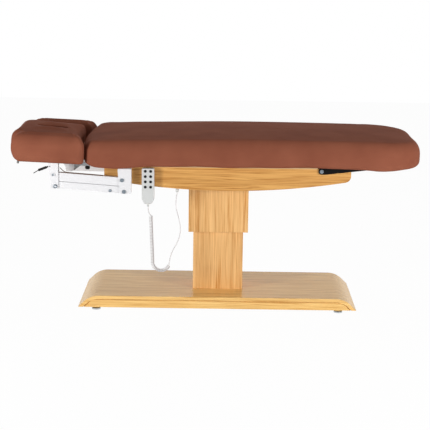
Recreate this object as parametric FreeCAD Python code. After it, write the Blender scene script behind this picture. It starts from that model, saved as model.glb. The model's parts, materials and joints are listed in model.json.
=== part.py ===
import FreeCAD
import Part
import math
import os

# Spa bed. X runs from the head (minus) to the foot (plus), Y away from the handset side, Z up.
# The origin is on the floor, midway along the overall length and width. Sizes are in millimetres.

# Fits
fit_gap = 0.3
running_gap = 0.05
overrun = 5.0

# Base
base_length = 1473.0
base_depth = 550.0
base_height = 62.0
base_slope_run = 64.0
base_bend_radius = 60.0
base_sheet = 22.0
base_groove = 3.0
column_x = 28.0

# Levelling feet
foot_height = 21.0
foot_radius = 23.0
foot_sole = 7.0
foot_shoulder_radius = 13.0
foot_stem_radius = 6.0
foot_stem_depth = 28.0
foot_span_x = 1288.0
foot_inset_y = 45.0

# Lifting column
lift_width = 150.0
lift_depth = 110.0
lift_wall = 5.0
lift_corner = 14.0
lift_flange = 8.0
lift_flange_reach = 30.0
outer_tube_length = 300.0
inner_tube_length = 290.0
lower_tube_overlap = 88.0
upper_tube_overlap = 175.0
lift_motor_radius = 19.0
lift_motor_height = 150.0
lift_motor_cap = 12.0

# Column covers
lower_cover_width = 267.0
lower_cover_depth = 200.0
lower_cover_wall = 15.0
lower_cover_height = 347.0
upper_cover_width = 318.0
upper_cover_depth = 250.0
upper_cover_wall = 20.0
cover_overlap = 28.0
cover_recess = 2.0

# Rails and cross beams
rail_top = 780.0
rail_inset = 95.0
rail_thickness = 30.0
rail_head_x = -564.0
rail_foot_x = 710.0
rail_low_x = 60.0
rail_low_depth = 120.0
rail_head_depth = 68.0
rail_foot_depth = 64.0
rail_corner = 34.0
beam_width = 60.0
beam_height = 62.0
beam_spread = 150.0
beam_end_inset = 46.0

# Boards and mattress
board_thickness = 18.0
board_inset = 14.0
leg_board_inset = 46.0
board_split = 20.0
overall_length = 2124.0
overall_width = 770.0
mattress_thickness = 142.0
mattress_head_x = -692.0
mattress_bow = 37.0
mattress_bow_radius = 800.0
mattress_corner = 150.0
mattress_foot_corner = 220.0
mattress_edge = 42.0
bend_half_length = 50.0
mattress_row_shares = ((0.0, 0.45), (0.045, 0.15), (0.16, 0.0), (0.72, 0.0),
                       (0.83, 0.12), (0.93, 0.42), (0.985, 1.0), (1.0, 2.6))

# Leg section
leg_pivot_x = 557.0
leg_pivot_drop = 11.0
leg_arm_length = 312.0
leg_arm_eye = 16.0
leg_arm_thickness = 7.0
leg_arm_tip_height = 9.0
leg_arm_top_gap = 1.0
pivot_bolt_radius = 6.0
pivot_head_radius = 10.0
pivot_head_height = 4.0
leg_swing = 30.0
leg_lever_length = 60.0
leg_lever_width = 26.0
leg_lever_thickness = 12.0
leg_pin_radius = 6.0
leg_slot_rise = 2.6
leg_rod_radius = 10.0
leg_rod_length = 160.0
leg_fork_thickness = 8.0
leg_fork_length = 46.0
leg_fork_height = 32.0
leg_tube_radius = 19.0
leg_tube_length = 238.0
leg_gear_length = 70.0
leg_gear_width = 80.0
leg_gear_height = 100.0
leg_gear_corner = 12.0
leg_hanger_width = 30.0

# Headrest
headrest_end_x = -716.0
headrest_rise = 28.0
headrest_length = 351.7
headrest_thickness = 122.0
headrest_tilt = 4.7
headrest_edge = 30.0
headrest_nose = 46.0
headrest_corner = 70.0
headrest_board_thickness = 12.0
headrest_board_inset = 40.0
face_hole_length = 186.0
face_hole_width = 130.0
face_hole_from_end = 172.0
headrest_pivot_x = -748.0
headrest_pivot_drop = 27.0
hinge_plane_y = 170.0
hinge_eye = 16.0
hinge_bar_thickness = 8.0
hinge_bar_reach = 150.0
hinge_leaf_eye = 18.0
hinge_leaf_thickness = 6.0
hinge_leaf_reach = 70.0
hinge_pin_radius = 7.0
receiver_width = 26.0
receiver_height = 18.0
receiver_length = 90.0
knob_radius = 13.0
knob_height = 19.0
knob_stud_radius = 4.0
knob_from_bar_end = 65.0
grip_radius = 9.0
grip_length = 300.0
grip_drop = 26.0
grip_from_end = 288.0
grip_lug = 14.0
pad_row_shares = ((0.0, 0.45, 1.0), (0.06, 0.15, 0.55), (0.2, 0.0, 0.2), (0.45, 0.0, 0.0), (0.7, 0.0, 0.06),
                  (0.84, 0.14, 0.28), (0.935, 0.45, 0.62), (0.985, 1.0, 1.2), (1.0, 1.5, 1.8))

# Armrest linkage
bracket_upper_x = -469.0
bracket_pivot_drop = 64.0
pivot_step_x = 10.0
pivot_step_z = 60.0
link_length = 354.0
near_link_angle = 3.9
far_link_angle = 0.7
linkage_plate = 5.0
link_width = 31.0
link_side_gap = 0.5
link_wall = 3.0
upper_link_above = 12.0
upper_link_below = 32.0
lower_link_above = 25.0
lower_link_below = 11.0
link_corner = 9.0
bracket_left = 23.0
bracket_right = 47.0
bracket_foot = 71.0
bracket_corner = 6.0
upright_left_top = 27.0
upright_left_foot = 12.0
upright_right = 26.0
upright_foot = 74.0
upright_plate_half = 70.0
upright_plate_width = 90.0

# Armrest pads
armrest_lift = 79.0
armrest_thickness = 137.0
armrest_tilt = 2.2
armrest_width = 140.0
armrest_gap = 10.0
armrest_head_reach = 211.0
armrest_foot_reach_outer = 161.0
armrest_foot_reach_inner = 138.0
armrest_edge = 26.0
armrest_nose = 50.0
armrest_corner = 36.0

# Release levers
lever_pivot_x = -16.0
lever_pivot_z = 43.0
lever_boss = 8.0
lever_pin_radius = 3.0
lever_reach = 62.0
lever_drop = 24.0
lever_thickness = 8.0
lever_grip_radius = 6.5
lever_tip_reach = 26.0
lever_tip_drop = 16.0
lever_tip_radius = 2.0

# Handset
handset_x = -336.0
handset_drop = 2.0
handset_length = 186.0
handset_width = 64.0
handset_taper = 13.0
handset_taper_length = 26.0
handset_corner = 8.0
handset_front_depth = 17.0
handset_back_depth = 12.0
handset_edge = 3.5
cradle_thickness = 6.0
cradle_width = 40.0
cradle_height = 60.0
cradle_corner = 6.0
button_radius = 7.2
button_gap = 0.3
button_pitch = 27.4
button_columns = 2
button_rows = 4
button_first_drop = 15.0
button_proud = 2.0
button_travel = 1.2
button_length = 7.0
button_dome = 0.7
relief_length = 16.0
relief_root_radius = 7.0
relief_tip_radius = 4.0

# Control box and mains inlet
box_length = 180.0
box_width = 240.0
box_height = 56.0
box_x = -252.0
box_corner = 8.0
inlet_width = 48.0
inlet_height = 30.0
inlet_depth = 14.0
inlet_wall = 4.0

# Handset cord
cord_diameter = 4.8
coil_radius = 7.6
coil_turns = 46
coil_steps = 4
cord_stand_off = 21.0
coil_top_x = -322.0
coil_top_drop = 252.0
coil_low_x = -312.0
coil_low_drop = 502.0
coil_bend_radius = 44.0
coil_bend_turn = 158.0
coil_lead = 12.0
gland_radius = 9.0
gland_length = 20.0
gland_spigot_radius = 6.0
gland_spigot_length = 16.0
# Steps of the cord's thin ends: along the bed, off the coil's plane to the rail, below the rail's top
upper_steps = [(-336, 0, 204), (-335.8, -0.3, 210.5), (-334.9, -2.2, 218), (-333.6, -4.6, 225.5),
               (-332.6, -6, 235.2)]
lower_steps = [(-220, 0, 468), (-205, 1, 430), (-183, 3, 394), (-169, 6, 350), (-168, 10, 304),
               (-180, 16, 258), (-193, 24, 213), (-194, 31, 168), (-187, 36, 133)]

# Places worked out from the sizes above
base_top = foot_height + base_height
head_plate_top = rail_top - beam_height
head_plate_bottom = head_plate_top - lift_flange
lower_cover_top = base_top + lower_cover_height
headrest_bottom = rail_top + headrest_rise
headrest_pivot_z = rail_top - headrest_pivot_drop
bracket_upper_z = rail_top - bracket_pivot_drop
handset_top = rail_top - handset_drop
board_top = rail_top + board_thickness
half_length = overall_length / 2
half_width = overall_width / 2
rail_half_span = half_width - rail_inset
headrest_width = overall_width - 2 * (armrest_width + armrest_gap)
leg_pivot_z = rail_top - leg_pivot_drop
linkage_inner = rail_half_span
linkage_outer = rail_half_span + 2 * linkage_plate + link_width + 2 * link_side_gap
link_low = rail_half_span + linkage_plate + link_side_gap
linkage_middle = (linkage_inner + linkage_outer) / 2
handset_back = rail_half_span + cradle_thickness
handset_split = handset_back + handset_back_depth
handset_front = handset_split + handset_front_depth
cord_y = -(rail_half_span + cord_stand_off)
coil_top = FreeCAD.Vector(coil_top_x, cord_y, rail_top - coil_top_drop)
coil_low = FreeCAD.Vector(coil_low_x, cord_y, rail_top - coil_low_drop)
upper_route = [(x, cord_y + y, rail_top - drop) for x, y, drop in upper_steps]
lower_route = [(x, cord_y + y, rail_top - drop) for x, y, drop in lower_steps]


def space(x, y, z):
    """Point in space."""
    return FreeCAD.Vector(x, y, z)


def level(z):
    """Places a flat outline at height z."""
    return lambda p: space(p.x, p.y, z)


def upright_plane(y):
    """Places a flat outline on the upright plane at y."""
    return lambda p: space(p.x, y, p.y)


def rounded_wire(points, radii, place):
    """Closed outline with each corner rounded by its own radius."""
    count = len(points)
    spans = []
    for index, point in enumerate(points):
        corner = space(point[0], point[1], 0)
        before = space(*points[index - 1], 0) - corner
        after = space(*points[(index + 1) % count], 0) - corner
        before.normalize()
        after.normalize()
        half = before.getAngle(after) / 2
        bisector = (before + after).normalize()
        reach = radii[index] / math.tan(half)
        middle = corner + bisector * (radii[index] / math.sin(half) - radii[index])
        spans.append((corner + before * reach, middle, corner + after * reach))
    edges = []
    for index, (start, middle, end) in enumerate(spans):
        if radii[index] > 0:
            edges.append(Part.Arc(place(start), place(middle), place(end)).toShape())
        following = spans[(index + 1) % count][0]
        edges.append(Part.LineSegment(place(end), place(following)).toShape())
    return Part.Wire(edges)


def plate(points, radii, y_low, y_high):
    """Upright plate between two planes across Y."""
    face = Part.Face(rounded_wire(points, radii, upright_plane(y_low)))
    return face.extrude(space(0, y_high - y_low, 0))


def slab(points, radii, z_low, z_high):
    """Level slab between two heights."""
    face = Part.Face(rounded_wire(points, radii, level(z_low)))
    return face.extrude(space(0, 0, z_high - z_low))


def block(x_low, x_high, y_low, y_high, z_low, z_high):
    """Rectangular block between its corners."""
    return Part.makeBox(x_high - x_low, y_high - y_low, z_high - z_low, space(x_low, y_low, z_low))


def rod(start, end, radius):
    """Round rod between two points."""
    along = end - start
    return Part.makeCylinder(radius, along.Length, start, along)


def turned(profile, foot):
    """Turned piece: pairs of radius and height round a vertical axis standing on foot."""
    points = [space(radius, 0, height) for radius, height in profile]
    solid = Part.Face(Part.makePolygon(points + points[:1])).revolve(space(0, 0, 0), space(0, 0, 1), 360)
    solid.translate(foot)
    return solid


def rectangle(x_low, x_high, y_low, y_high):
    """Corners of a rectangle."""
    return [(x_low, y_low), (x_high, y_low), (x_high, y_high), (x_low, y_high)]


def centred_rectangle(x, width, depth):
    """Corners of a rectangle round the column's centre line."""
    return rectangle(x - width / 2, x + width / 2, -depth / 2, depth / 2)


def mirrored(shape):
    """The same piece on the other side of the bed."""
    return shape.mirror(space(0, 0, 0), space(0, 1, 0))


def both_sides(shape):
    """A piece and its twin on the other side, as a group."""
    return Part.makeCompound([shape, mirrored(shape)])


def base_profile(inset):
    """Outline of the base from the side, drawn in by the thickness of its top sheet."""
    slope = math.atan2(base_height, base_slope_run)
    tip = base_length / 2 - inset / math.sin(slope)
    shoulder = tip - (base_height - inset) / math.tan(slope)
    low = foot_height
    high = base_top - inset
    return [(column_x - tip, low), (column_x + tip, low),
            (column_x + shoulder, high), (column_x - shoulder, high)]


def base_pieces():
    """Bent top panel and the core board under it."""
    half = base_depth / 2
    inner_radius = base_bend_radius - base_sheet
    outer = plate(base_profile(0), [0, 0, base_bend_radius, base_bend_radius], -half, half)
    hollow = plate(base_profile(base_sheet), [0, 0, inner_radius, inner_radius], -half - overrun,
                   half + overrun)
    core_inset = base_sheet + fit_gap
    core_radii = [0, 0, inner_radius - fit_gap, inner_radius - fit_gap]
    core = plate(base_profile(core_inset), core_radii, -half, half)
    ends = [edge for edge in core.Edges
            if abs(abs(edge.CenterOfMass.y) - half) < fit_gap and edge.BoundBox.ZMax > foot_height + fit_gap]
    core = core.makeChamfer(base_groove, ends)
    for x, y in foot_places():
        hole = foot_stem_radius + running_gap
        core = core.cut(rod(space(x, y, 0), space(x, y, foot_height + foot_stem_depth + fit_gap), hole))
    return {"base_top_panel": outer.cut(hollow), "base_core_board": core}


def foot_places():
    """Centres of the four feet: near and far at the head, then at the foot."""
    reach_y = base_depth / 2 - foot_inset_y
    ends_x = (column_x - foot_span_x / 2, column_x + foot_span_x / 2)
    return [(x, y) for x in ends_x for y in (-reach_y, reach_y)]


def feet():
    """Four levelling feet with their threaded stems."""
    profile = [(0, 0), (foot_radius, 0), (foot_radius, foot_sole),
               (foot_shoulder_radius, foot_height - foot_sole / 2),
               (foot_stem_radius, foot_height - foot_sole / 2),
               (foot_stem_radius, foot_height + foot_stem_depth),
               (0, foot_height + foot_stem_depth)]
    names = ["foot_head_near", "foot_head_far", "foot_foot_near", "foot_foot_far"]
    return {name: turned(profile, space(x, y, 0)) for name, (x, y) in zip(names, foot_places())}


def tube(inset, z_low, z_high):
    """Square lift tube, drawn in from the outer tube by an inset."""
    outside = centred_rectangle(column_x, lift_width - 2 * inset, lift_depth - 2 * inset)
    inside = centred_rectangle(column_x, lift_width - 2 * (inset + lift_wall),
                               lift_depth - 2 * (inset + lift_wall))
    corner = lift_corner - inset / 2
    hollow = slab(inside, [corner - lift_wall / 2] * 4, z_low - overrun, z_high + overrun)
    return slab(outside, [corner] * 4, z_low, z_high).cut(hollow)


def lift_pieces():
    """Three nested tubes with a foot flange and a head plate, and the motor beside them."""
    step = lift_wall + fit_gap
    middle_top = head_plate_bottom - inner_tube_length + upper_tube_overlap
    middle_low = base_top + outer_tube_length - lower_tube_overlap
    flange = slab(centred_rectangle(column_x, lift_width + 2 * lift_flange_reach,
                                    lift_depth + lift_flange_reach),
                  [lift_corner] * 4, base_top, base_top + lift_flange)
    outer = tube(0, base_top + lift_flange, base_top + outer_tube_length).fuse(flange)
    middle = tube(step, middle_low, middle_top)
    inner = tube(2 * step, head_plate_bottom - inner_tube_length, head_plate_bottom)
    head = slab(centred_rectangle(column_x, upper_cover_width - overrun, upper_cover_depth - overrun),
                [lift_corner] * 4, head_plate_bottom, head_plate_top)
    motor_x = column_x + lift_width / 2 + lift_motor_radius + overrun / 2
    top = lift_motor_height
    motor = turned([(0, 0), (lift_motor_radius, 0), (lift_motor_radius, top - lift_motor_cap),
                    (lift_motor_radius - lift_motor_cap / 2, top), (0, top)],
                   space(motor_x, 0, base_top + lift_flange))
    return {"lift_outer_tube": outer.removeSplitter(), "lift_middle_tube": middle,
            "lift_inner_tube": inner.fuse(head).removeSplitter(), "lift_motor": motor}


def cover(width, depth, wall, z_low, z_high):
    """Box of four wooden panels: full-depth cheeks with the front and back set between them."""
    left = column_x - width / 2
    right = column_x + width / 2
    near = -depth / 2
    front = block(left + wall, right - wall, near + cover_recess, near + cover_recess + wall, z_low, z_high)
    cheeks = [block(left, left + wall, near, -near, z_low, z_high),
              block(right - wall, right, near, -near, z_low, z_high)]
    return Part.makeCompound([front, mirrored(front)] + cheeks)


def cover_pieces():
    """Lower cover on the base, and the larger one that slides over it."""
    upper_low = lower_cover_top - cover_overlap
    lower = cover(lower_cover_width, lower_cover_depth, lower_cover_wall, base_top, lower_cover_top)
    upper = cover(upper_cover_width, upper_cover_depth, upper_cover_wall, upper_low, head_plate_bottom)
    return {"column_lower_cover": lower, "column_upper_cover": upper}


def rail():
    """Side rail on the handset side: straight top, bowed lower edge, rounded corner at the foot end."""
    plane = upright_plane(-rail_half_span)
    head_low = plane(space(rail_head_x, rail_top - rail_head_depth, 0))
    lowest = plane(space(rail_low_x, rail_top - rail_low_depth, 0))
    foot_low = plane(space(rail_foot_x, rail_top - rail_foot_depth, 0))
    foot_high = plane(space(rail_foot_x, rail_top, 0))
    head_high = plane(space(rail_head_x, rail_top, 0))
    edges = [Part.Arc(head_low, lowest, foot_low).toShape(), Part.LineSegment(foot_low, foot_high).toShape(),
             Part.LineSegment(foot_high, head_high).toShape(),
             Part.LineSegment(head_high, head_low).toShape()]
    solid = Part.Face(Part.Wire(edges)).extrude(space(0, rail_thickness, 0))
    corner = [edge for edge in solid.Edges
              if edge.BoundBox.XMin > rail_foot_x - fit_gap and edge.BoundBox.ZMax < rail_top - fit_gap]
    solid = solid.makeFillet(rail_corner, corner)
    bolt_end = space(leg_pivot_x, -rail_half_span + rail_thickness + overrun, leg_pivot_z)
    return solid.cut(rod(space(leg_pivot_x, -rail_half_span - overrun, leg_pivot_z), bolt_end,
                         pivot_bolt_radius))


def frame_pieces():
    """Both rails, the beams between them and the board under the mattress."""
    near = rail()
    gland_point = lower_route[-1]
    spigot_top = gland_point[2] + gland_length + gland_spigot_length
    spigot = rod(space(*gland_point), space(gland_point[0], gland_point[1], spigot_top + running_gap),
                 gland_spigot_radius + running_gap)
    inner = rail_half_span - rail_thickness
    half = beam_width / 2
    places = [rail_head_x + beam_end_inset, column_x - beam_spread, column_x + beam_spread,
              rail_foot_x - beam_end_inset]
    beams = [block(x - half, x + half, -inner, inner, rail_top - beam_height, rail_top) for x in places]
    board_head = mattress_head_x + mattress_bow + board_inset
    main = slab(rectangle(board_head, leg_pivot_x - board_split, -rail_half_span, rail_half_span),
                [mattress_corner / 2, 0, 0, mattress_corner / 2], rail_top, board_top)
    leg = slab(rectangle(leg_pivot_x + board_split, half_length - leg_board_inset, -rail_half_span,
                         rail_half_span),
               [0, mattress_foot_corner / 2, mattress_foot_corner / 2, 0], rail_top, board_top)
    return {"rail_near": near.cut(spigot), "rail_far": mirrored(near),
            "cross_beams": Part.makeCompound(beams),
            "main_board": main, "leg_board": leg}


def mattress_outline(inset):
    """Corners of the mattress from above; the head end is bowed."""
    left = mattress_head_x + mattress_bow + inset
    right = half_length - inset
    side = half_width - inset
    return [(left, -side), (right, -side), (right, side), (left, side), (mattress_head_x + inset, 0)]


def mattress_pieces():
    """Crowned mattress, cut into the main pad, the bending zone and the leg pad."""
    radii = [mattress_corner, mattress_foot_corner, mattress_foot_corner, mattress_corner,
             mattress_bow_radius]
    rows = [rounded_wire(mattress_outline(inset * mattress_edge), radii,
                         level(board_top + rise * mattress_thickness))
            for rise, inset in mattress_row_shares]
    whole = Part.makeLoft(rows, True, True)
    stops = [-half_length, leg_pivot_x - bend_half_length, leg_pivot_x + bend_half_length,
             half_length + overrun]
    names = ["mattress_main", "mattress_bend", "mattress_leg"]
    pieces = {}
    for name, low, high in zip(names, stops[:-1], stops[1:]):
        span = block(low + fit_gap / 2, high - fit_gap / 2, -overall_width, overall_width,
                     board_top - overrun, board_top + 2 * mattress_thickness)
        pieces[name] = whole.common(span)
    return pieces


def leg_pin_place():
    """Place of the push pin below the leg pivot, at the start of its swing."""
    start = math.radians(-90 - leg_swing / 2)
    return (leg_pivot_x + leg_lever_length * math.cos(start),
            leg_pivot_z + leg_lever_length * math.sin(start))


def leg_arm():
    """Black hinge arm on the outside of the near rail, tapering under the mattress."""
    outer = -rail_half_span - fit_gap - leg_arm_thickness
    tip = leg_pivot_x + leg_arm_length
    top = board_top - leg_arm_top_gap
    eye_top = leg_pivot_z + leg_arm_eye
    eye_low = leg_pivot_z - leg_arm_eye
    points = [(leg_pivot_x - leg_arm_eye, eye_low), (leg_pivot_x + leg_arm_eye, eye_low),
              (tip, top - leg_arm_tip_height),
              (tip, top), (leg_pivot_x + 3 * leg_arm_eye, top), (leg_pivot_x - leg_arm_eye, eye_top)]
    round_end = leg_arm_eye * math.cos(math.radians(15))
    radii = [round_end, leg_arm_eye, leg_arm_tip_height / 3, leg_arm_tip_height / 3, leg_arm_eye, round_end]
    arm = plate(points, radii, outer, outer + leg_arm_thickness)
    hole = rod(space(leg_pivot_x, outer - overrun, leg_pivot_z), space(leg_pivot_x, 0, leg_pivot_z),
               pivot_bolt_radius + running_gap)
    return arm.cut(hole)


def leg_pieces():
    """Hinge arms, push lever, push rod and the motor that drives the leg section."""
    pin_x, pin_z = leg_pin_place()
    half = leg_lever_thickness / 2
    heel = leg_pivot_x + board_split
    points = [(pin_x - leg_lever_width / 2, pin_z - leg_lever_width / 2),
              (pin_x + leg_lever_width / 2, pin_z - leg_lever_width / 2),
              (heel + leg_lever_width * 3 / 2, rail_top), (heel, rail_top)]
    lever = plate(points, [leg_lever_width / 3, leg_lever_width / 3, 0, 0], -half, half)
    fork_gap = half + fit_gap
    fork_outer = fork_gap + leg_fork_thickness
    lever = lever.fuse(rod(space(pin_x, -fork_outer, pin_z), space(pin_x, fork_outer, pin_z), leg_pin_radius))
    fork_low = pin_x - leg_fork_length / 2
    fork_high = pin_x + leg_fork_length / 2
    fork_points = rectangle(fork_low, fork_high, pin_z - leg_fork_height / 2, pin_z + leg_fork_height / 2)
    cheek = plate(fork_points, [leg_fork_height / 4] * 4, fork_gap, fork_outer)
    slot = leg_pin_radius + fit_gap
    slot_points = rectangle(pin_x - slot, pin_x + slot, pin_z - slot - leg_slot_rise, pin_z + slot)
    cheek = cheek.cut(plate(slot_points, [leg_pin_radius / 2] * 4, fork_gap - overrun, fork_outer + overrun))
    web_end = pin_x - leg_lever_width - leg_rod_radius
    web = block(web_end, fork_low + leg_fork_thickness, -fork_outer, fork_outer,
                pin_z - leg_rod_radius, pin_z + leg_rod_radius)
    shank = rod(space(web_end - leg_rod_length, 0, pin_z), space(web_end, 0, pin_z), leg_rod_radius)
    push_rod = cheek.fuse([mirrored(cheek), web, shank])
    beam_face = column_x + beam_spread + beam_width / 2
    gear_end = beam_face + leg_gear_length
    gear = plate(rectangle(beam_face, gear_end, pin_z - leg_gear_height / 2, rail_top - overrun),
                 [leg_gear_corner] * 4, -leg_gear_width / 2, leg_gear_width / 2)
    tube_end = gear_end + leg_tube_length - leg_fork_length
    barrel = rod(space(gear_end - overrun, 0, pin_z), space(tube_end, 0, pin_z), leg_tube_radius)
    hanger = block(tube_end - leg_hanger_width, tube_end, -leg_tube_radius, leg_tube_radius, pin_z, rail_top)
    bore = rod(space(gear_end, 0, pin_z), space(tube_end + overrun, 0, pin_z), leg_rod_radius + running_gap)
    return {"leg_arms": both_sides(leg_arm()), "leg_lever": lever, "leg_push_rod": push_rod.removeSplitter(),
            "leg_motor": gear.fuse([barrel, hanger]).removeSplitter().cut(bore)}


def tilted(along, rise):
    """Point of the headrest given along its underside and square to it."""
    turn = math.radians(headrest_tilt)
    x = headrest_end_x - along * math.cos(turn) + rise * math.sin(turn)
    return (x, headrest_bottom + along * math.sin(turn) + rise * math.cos(turn))


def tilt_headrest(shape):
    """Turns a piece built level at the headrest's end to the headrest's slope."""
    shape.rotate(space(0, 0, 0), space(0, 1, 0), headrest_tilt)
    shape.translate(space(headrest_end_x, 0, headrest_bottom))
    return shape


def face_hole(z_low, z_high, spare):
    """Oval prism of the face hole."""
    x = -face_hole_from_end
    half_x = face_hole_length / 2 + spare
    half_y = face_hole_width / 2 + spare
    return slab(rectangle(x - half_x, x + half_x, -half_y, half_y), [half_y - fit_gap] * 4, z_low, z_high)


def headrest_pieces():
    """Crowned headrest pad with a face hole, its board, hinge leaves and grip bar."""
    half = headrest_width / 2
    rows = []
    for rise, side, nose in pad_row_shares:
        inset = side * headrest_edge
        corners = rectangle(-headrest_length + nose * headrest_nose, -inset, -half + inset, half - inset)
        radii = [headrest_corner, headrest_corner / 2, headrest_corner / 2, headrest_corner]
        rows.append(rounded_wire(corners, radii, level(rise * headrest_thickness)))
    pad = Part.makeLoft(rows, True, True).cut(face_hole(-overrun, headrest_thickness + overrun, 0))
    edge = headrest_board_inset
    board_points = rectangle(-headrest_length + headrest_nose + overrun, -edge / 2, -half + edge, half - edge)
    board = slab(board_points, [edge] * 4, -headrest_board_thickness, 0)
    board = board.cut(face_hole(-headrest_board_thickness - overrun, overrun, overrun))
    low = hinge_plane_y + hinge_bar_thickness / 2 + fit_gap
    eye = hinge_leaf_eye
    x = headrest_pivot_x
    z = headrest_pivot_z
    seat = -headrest_board_thickness
    leaf_points = [(x - eye, z - eye), (x + eye, z - eye), tilted(edge / 2, seat),
                   tilted(edge / 2 + hinge_leaf_reach, seat)]
    leaf = plate(leaf_points, [eye * 3 / 4, eye * 3 / 4, 0, 0], -low - hinge_leaf_thickness, -low)
    pin_end = hinge_plane_y - hinge_bar_thickness / 2
    leaf = leaf.fuse(rod(space(x, -low - hinge_leaf_thickness, z), space(x, -pin_end, z), hinge_pin_radius))
    grip_z = seat - grip_drop
    grip = rod(space(-grip_from_end, -grip_length / 2, grip_z),
               space(-grip_from_end, grip_length / 2, grip_z), grip_radius)
    lug_low = grip_length / 2 - 2 * grip_lug
    lug = block(-grip_from_end - grip_lug / 2, -grip_from_end + grip_lug / 2, -lug_low - grip_lug, -lug_low,
                grip_z, seat)
    grip = grip.fuse([lug, mirrored(lug)])
    return {"headrest_pad": tilt_headrest(pad), "headrest_board": tilt_headrest(board),
            "headrest_leaves": both_sides(leaf), "headrest_grip": tilt_headrest(grip)}


def headrest_hinge_pieces():
    """Fixed hinge bars under the main board, and the clamping knob of the near one."""
    x = headrest_pivot_x
    z = headrest_pivot_z
    eye = hinge_eye
    half = hinge_bar_thickness / 2
    far_x = x + hinge_bar_reach
    under = rail_top - receiver_height
    points = [(x - eye, z - eye), (x + eye, z - eye), (x + 3 * eye, under), (far_x, under), (far_x, rail_top),
              (x + 3 * eye, rail_top - receiver_height / 4), (x - eye, z + eye)]
    bar = plate(points, [eye * 3 / 4, eye, eye, 0, 0, eye, eye * 3 / 4], -hinge_plane_y - half,
                -hinge_plane_y + half)
    hole = rod(space(x, -hinge_plane_y - overrun, z), space(x, -hinge_plane_y + overrun, z),
               hinge_pin_radius + running_gap)
    wide = receiver_width / 2
    receiver = block(far_x - receiver_length, far_x, -hinge_plane_y - wide, -hinge_plane_y + wide,
                     under, rail_top)
    bar = bar.fuse(receiver).removeSplitter().cut(hole)
    knob_x = far_x - knob_from_bar_end
    stud_top = under + receiver_height * 2 / 3
    stud_hole = rod(space(knob_x, -hinge_plane_y, under - overrun),
                    space(knob_x, -hinge_plane_y, stud_top + fit_gap),
                    knob_stud_radius + running_gap)
    waist = knob_radius * 2 / 3
    profile = [(0, 0), (waist, 0), (knob_radius, knob_height / 4), (knob_radius, knob_height * 2 / 3),
               (waist, knob_height),
               (knob_stud_radius, knob_height), (knob_stud_radius, knob_height + fit_gap + stud_top - under),
               (0, knob_height + fit_gap + stud_top - under)]
    knob = turned(profile, space(knob_x, -hinge_plane_y, under - fit_gap - knob_height))
    return {"headrest_hinge_bars": Part.makeCompound([bar.cut(stud_hole), mirrored(bar)]),
            "headrest_knob": knob}


def across(x, z, low, high, radius):
    """Round pin across the bed on the handset side, between two distances from the middle."""
    return rod(space(x, -high, z), space(x, -low, z), radius)


def link(x, z, above, below, web_above):
    """Channel link lying level from a pivot towards the head, with its web above or below."""
    end = link_corner + link_wall
    points = rectangle(x - link_length - end, x + end, z - below, z + above)
    low = link_low
    high = link_low + link_width
    solid = plate(points, [link_corner] * 4, -high, -low)
    web_top = above - link_wall if web_above else above + overrun
    web_low = below + overrun if web_above else below - link_wall
    cavity = block(x - link_length - end - overrun, x + end + overrun, -high + link_wall, -low - link_wall,
                   z - web_low, z + web_top)
    solid = solid.cut(cavity)
    for pivot_x in (x, x - link_length):
        solid = solid.cut(across(pivot_x, z, low - overrun, high + overrun, pivot_bolt_radius + running_gap))
    return solid


def swing(shape, x, z, angle):
    """Turns a piece about a pivot across the bed; a positive angle lifts its head end."""
    shape.rotate(space(x, 0, z), space(0, 1, 0), angle)
    return shape


def pivot_pin(x, z):
    """Bolt through both plates of a linkage, with a head on each side."""
    stem = across(x, z, linkage_inner, linkage_outer, pivot_bolt_radius)
    return stem.fuse(across(x, z, linkage_outer, linkage_outer + pivot_head_height, pivot_head_radius))


def bracket():
    """Clevis bracket on the near rail: a plate on each side of the links and a bridge between them."""
    x = bracket_upper_x
    z = bracket_upper_z
    points = [(x - bracket_left + pivot_step_x, z - bracket_foot), (x + bracket_right, z - bracket_foot),
              (x + bracket_right, rail_top - overrun), (x - bracket_left, rail_top - overrun)]
    radii = [bracket_corner] * 4
    sides = plate(points, radii, -linkage_inner - linkage_plate, -linkage_inner)
    sides = sides.fuse(plate(points, radii, -linkage_outer, -linkage_outer + linkage_plate))
    bridge_low = x + bracket_right - linkage_plate
    bridge = block(bridge_low, bridge_low + linkage_plate, -linkage_outer + linkage_plate / 2,
                   -linkage_inner - linkage_plate / 2, z - bracket_foot + bracket_corner,
                   rail_top - overrun - bracket_corner)
    solid = sides.fuse(bridge).removeSplitter()
    for pivot_x, pivot_z in ((x, z), (x + pivot_step_x, z - pivot_step_z)):
        solid = solid.cut(across(pivot_x, pivot_z, 0, half_width, pivot_bolt_radius))
    return solid


def upright(x, z):
    """Upright at the head end of the links: two plates under a seat plate, with riveted pivot pins."""
    seat = armrest_lift - linkage_plate
    spread = upright_plate_half * math.sin(math.radians(armrest_tilt))
    points = [(x - upright_left_foot, z - upright_foot), (x + upright_right, z - upright_foot),
              (x + upright_right, z + seat - spread), (x - upright_left_top, z + seat + spread / 2)]
    radii = [bracket_corner, bracket_corner, 0, 0]
    solid = plate(points, radii, -linkage_inner - linkage_plate, -linkage_inner)
    solid = solid.fuse(plate(points, radii, -linkage_outer, -linkage_outer + linkage_plate))
    half = upright_plate_width / 2
    top = slab(rectangle(x - upright_plate_half, x + upright_plate_half, -linkage_middle - half,
                         -linkage_middle + half),
               [bracket_corner] * 4, z + seat, z + armrest_lift)
    swing(top, x, z + armrest_lift, armrest_tilt)
    solid = solid.fuse(top)
    lever_x = x + lever_pivot_x
    lever_z = z + lever_pivot_z
    solid = solid.cut(across(lever_x, lever_z, 0, half_width, lever_pin_radius + running_gap))
    for pivot_x, pivot_z in ((x, z), (x + pivot_step_x, z - pivot_step_z)):
        solid = solid.fuse(pivot_pin(pivot_x, pivot_z))
    return solid.removeSplitter()


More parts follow.
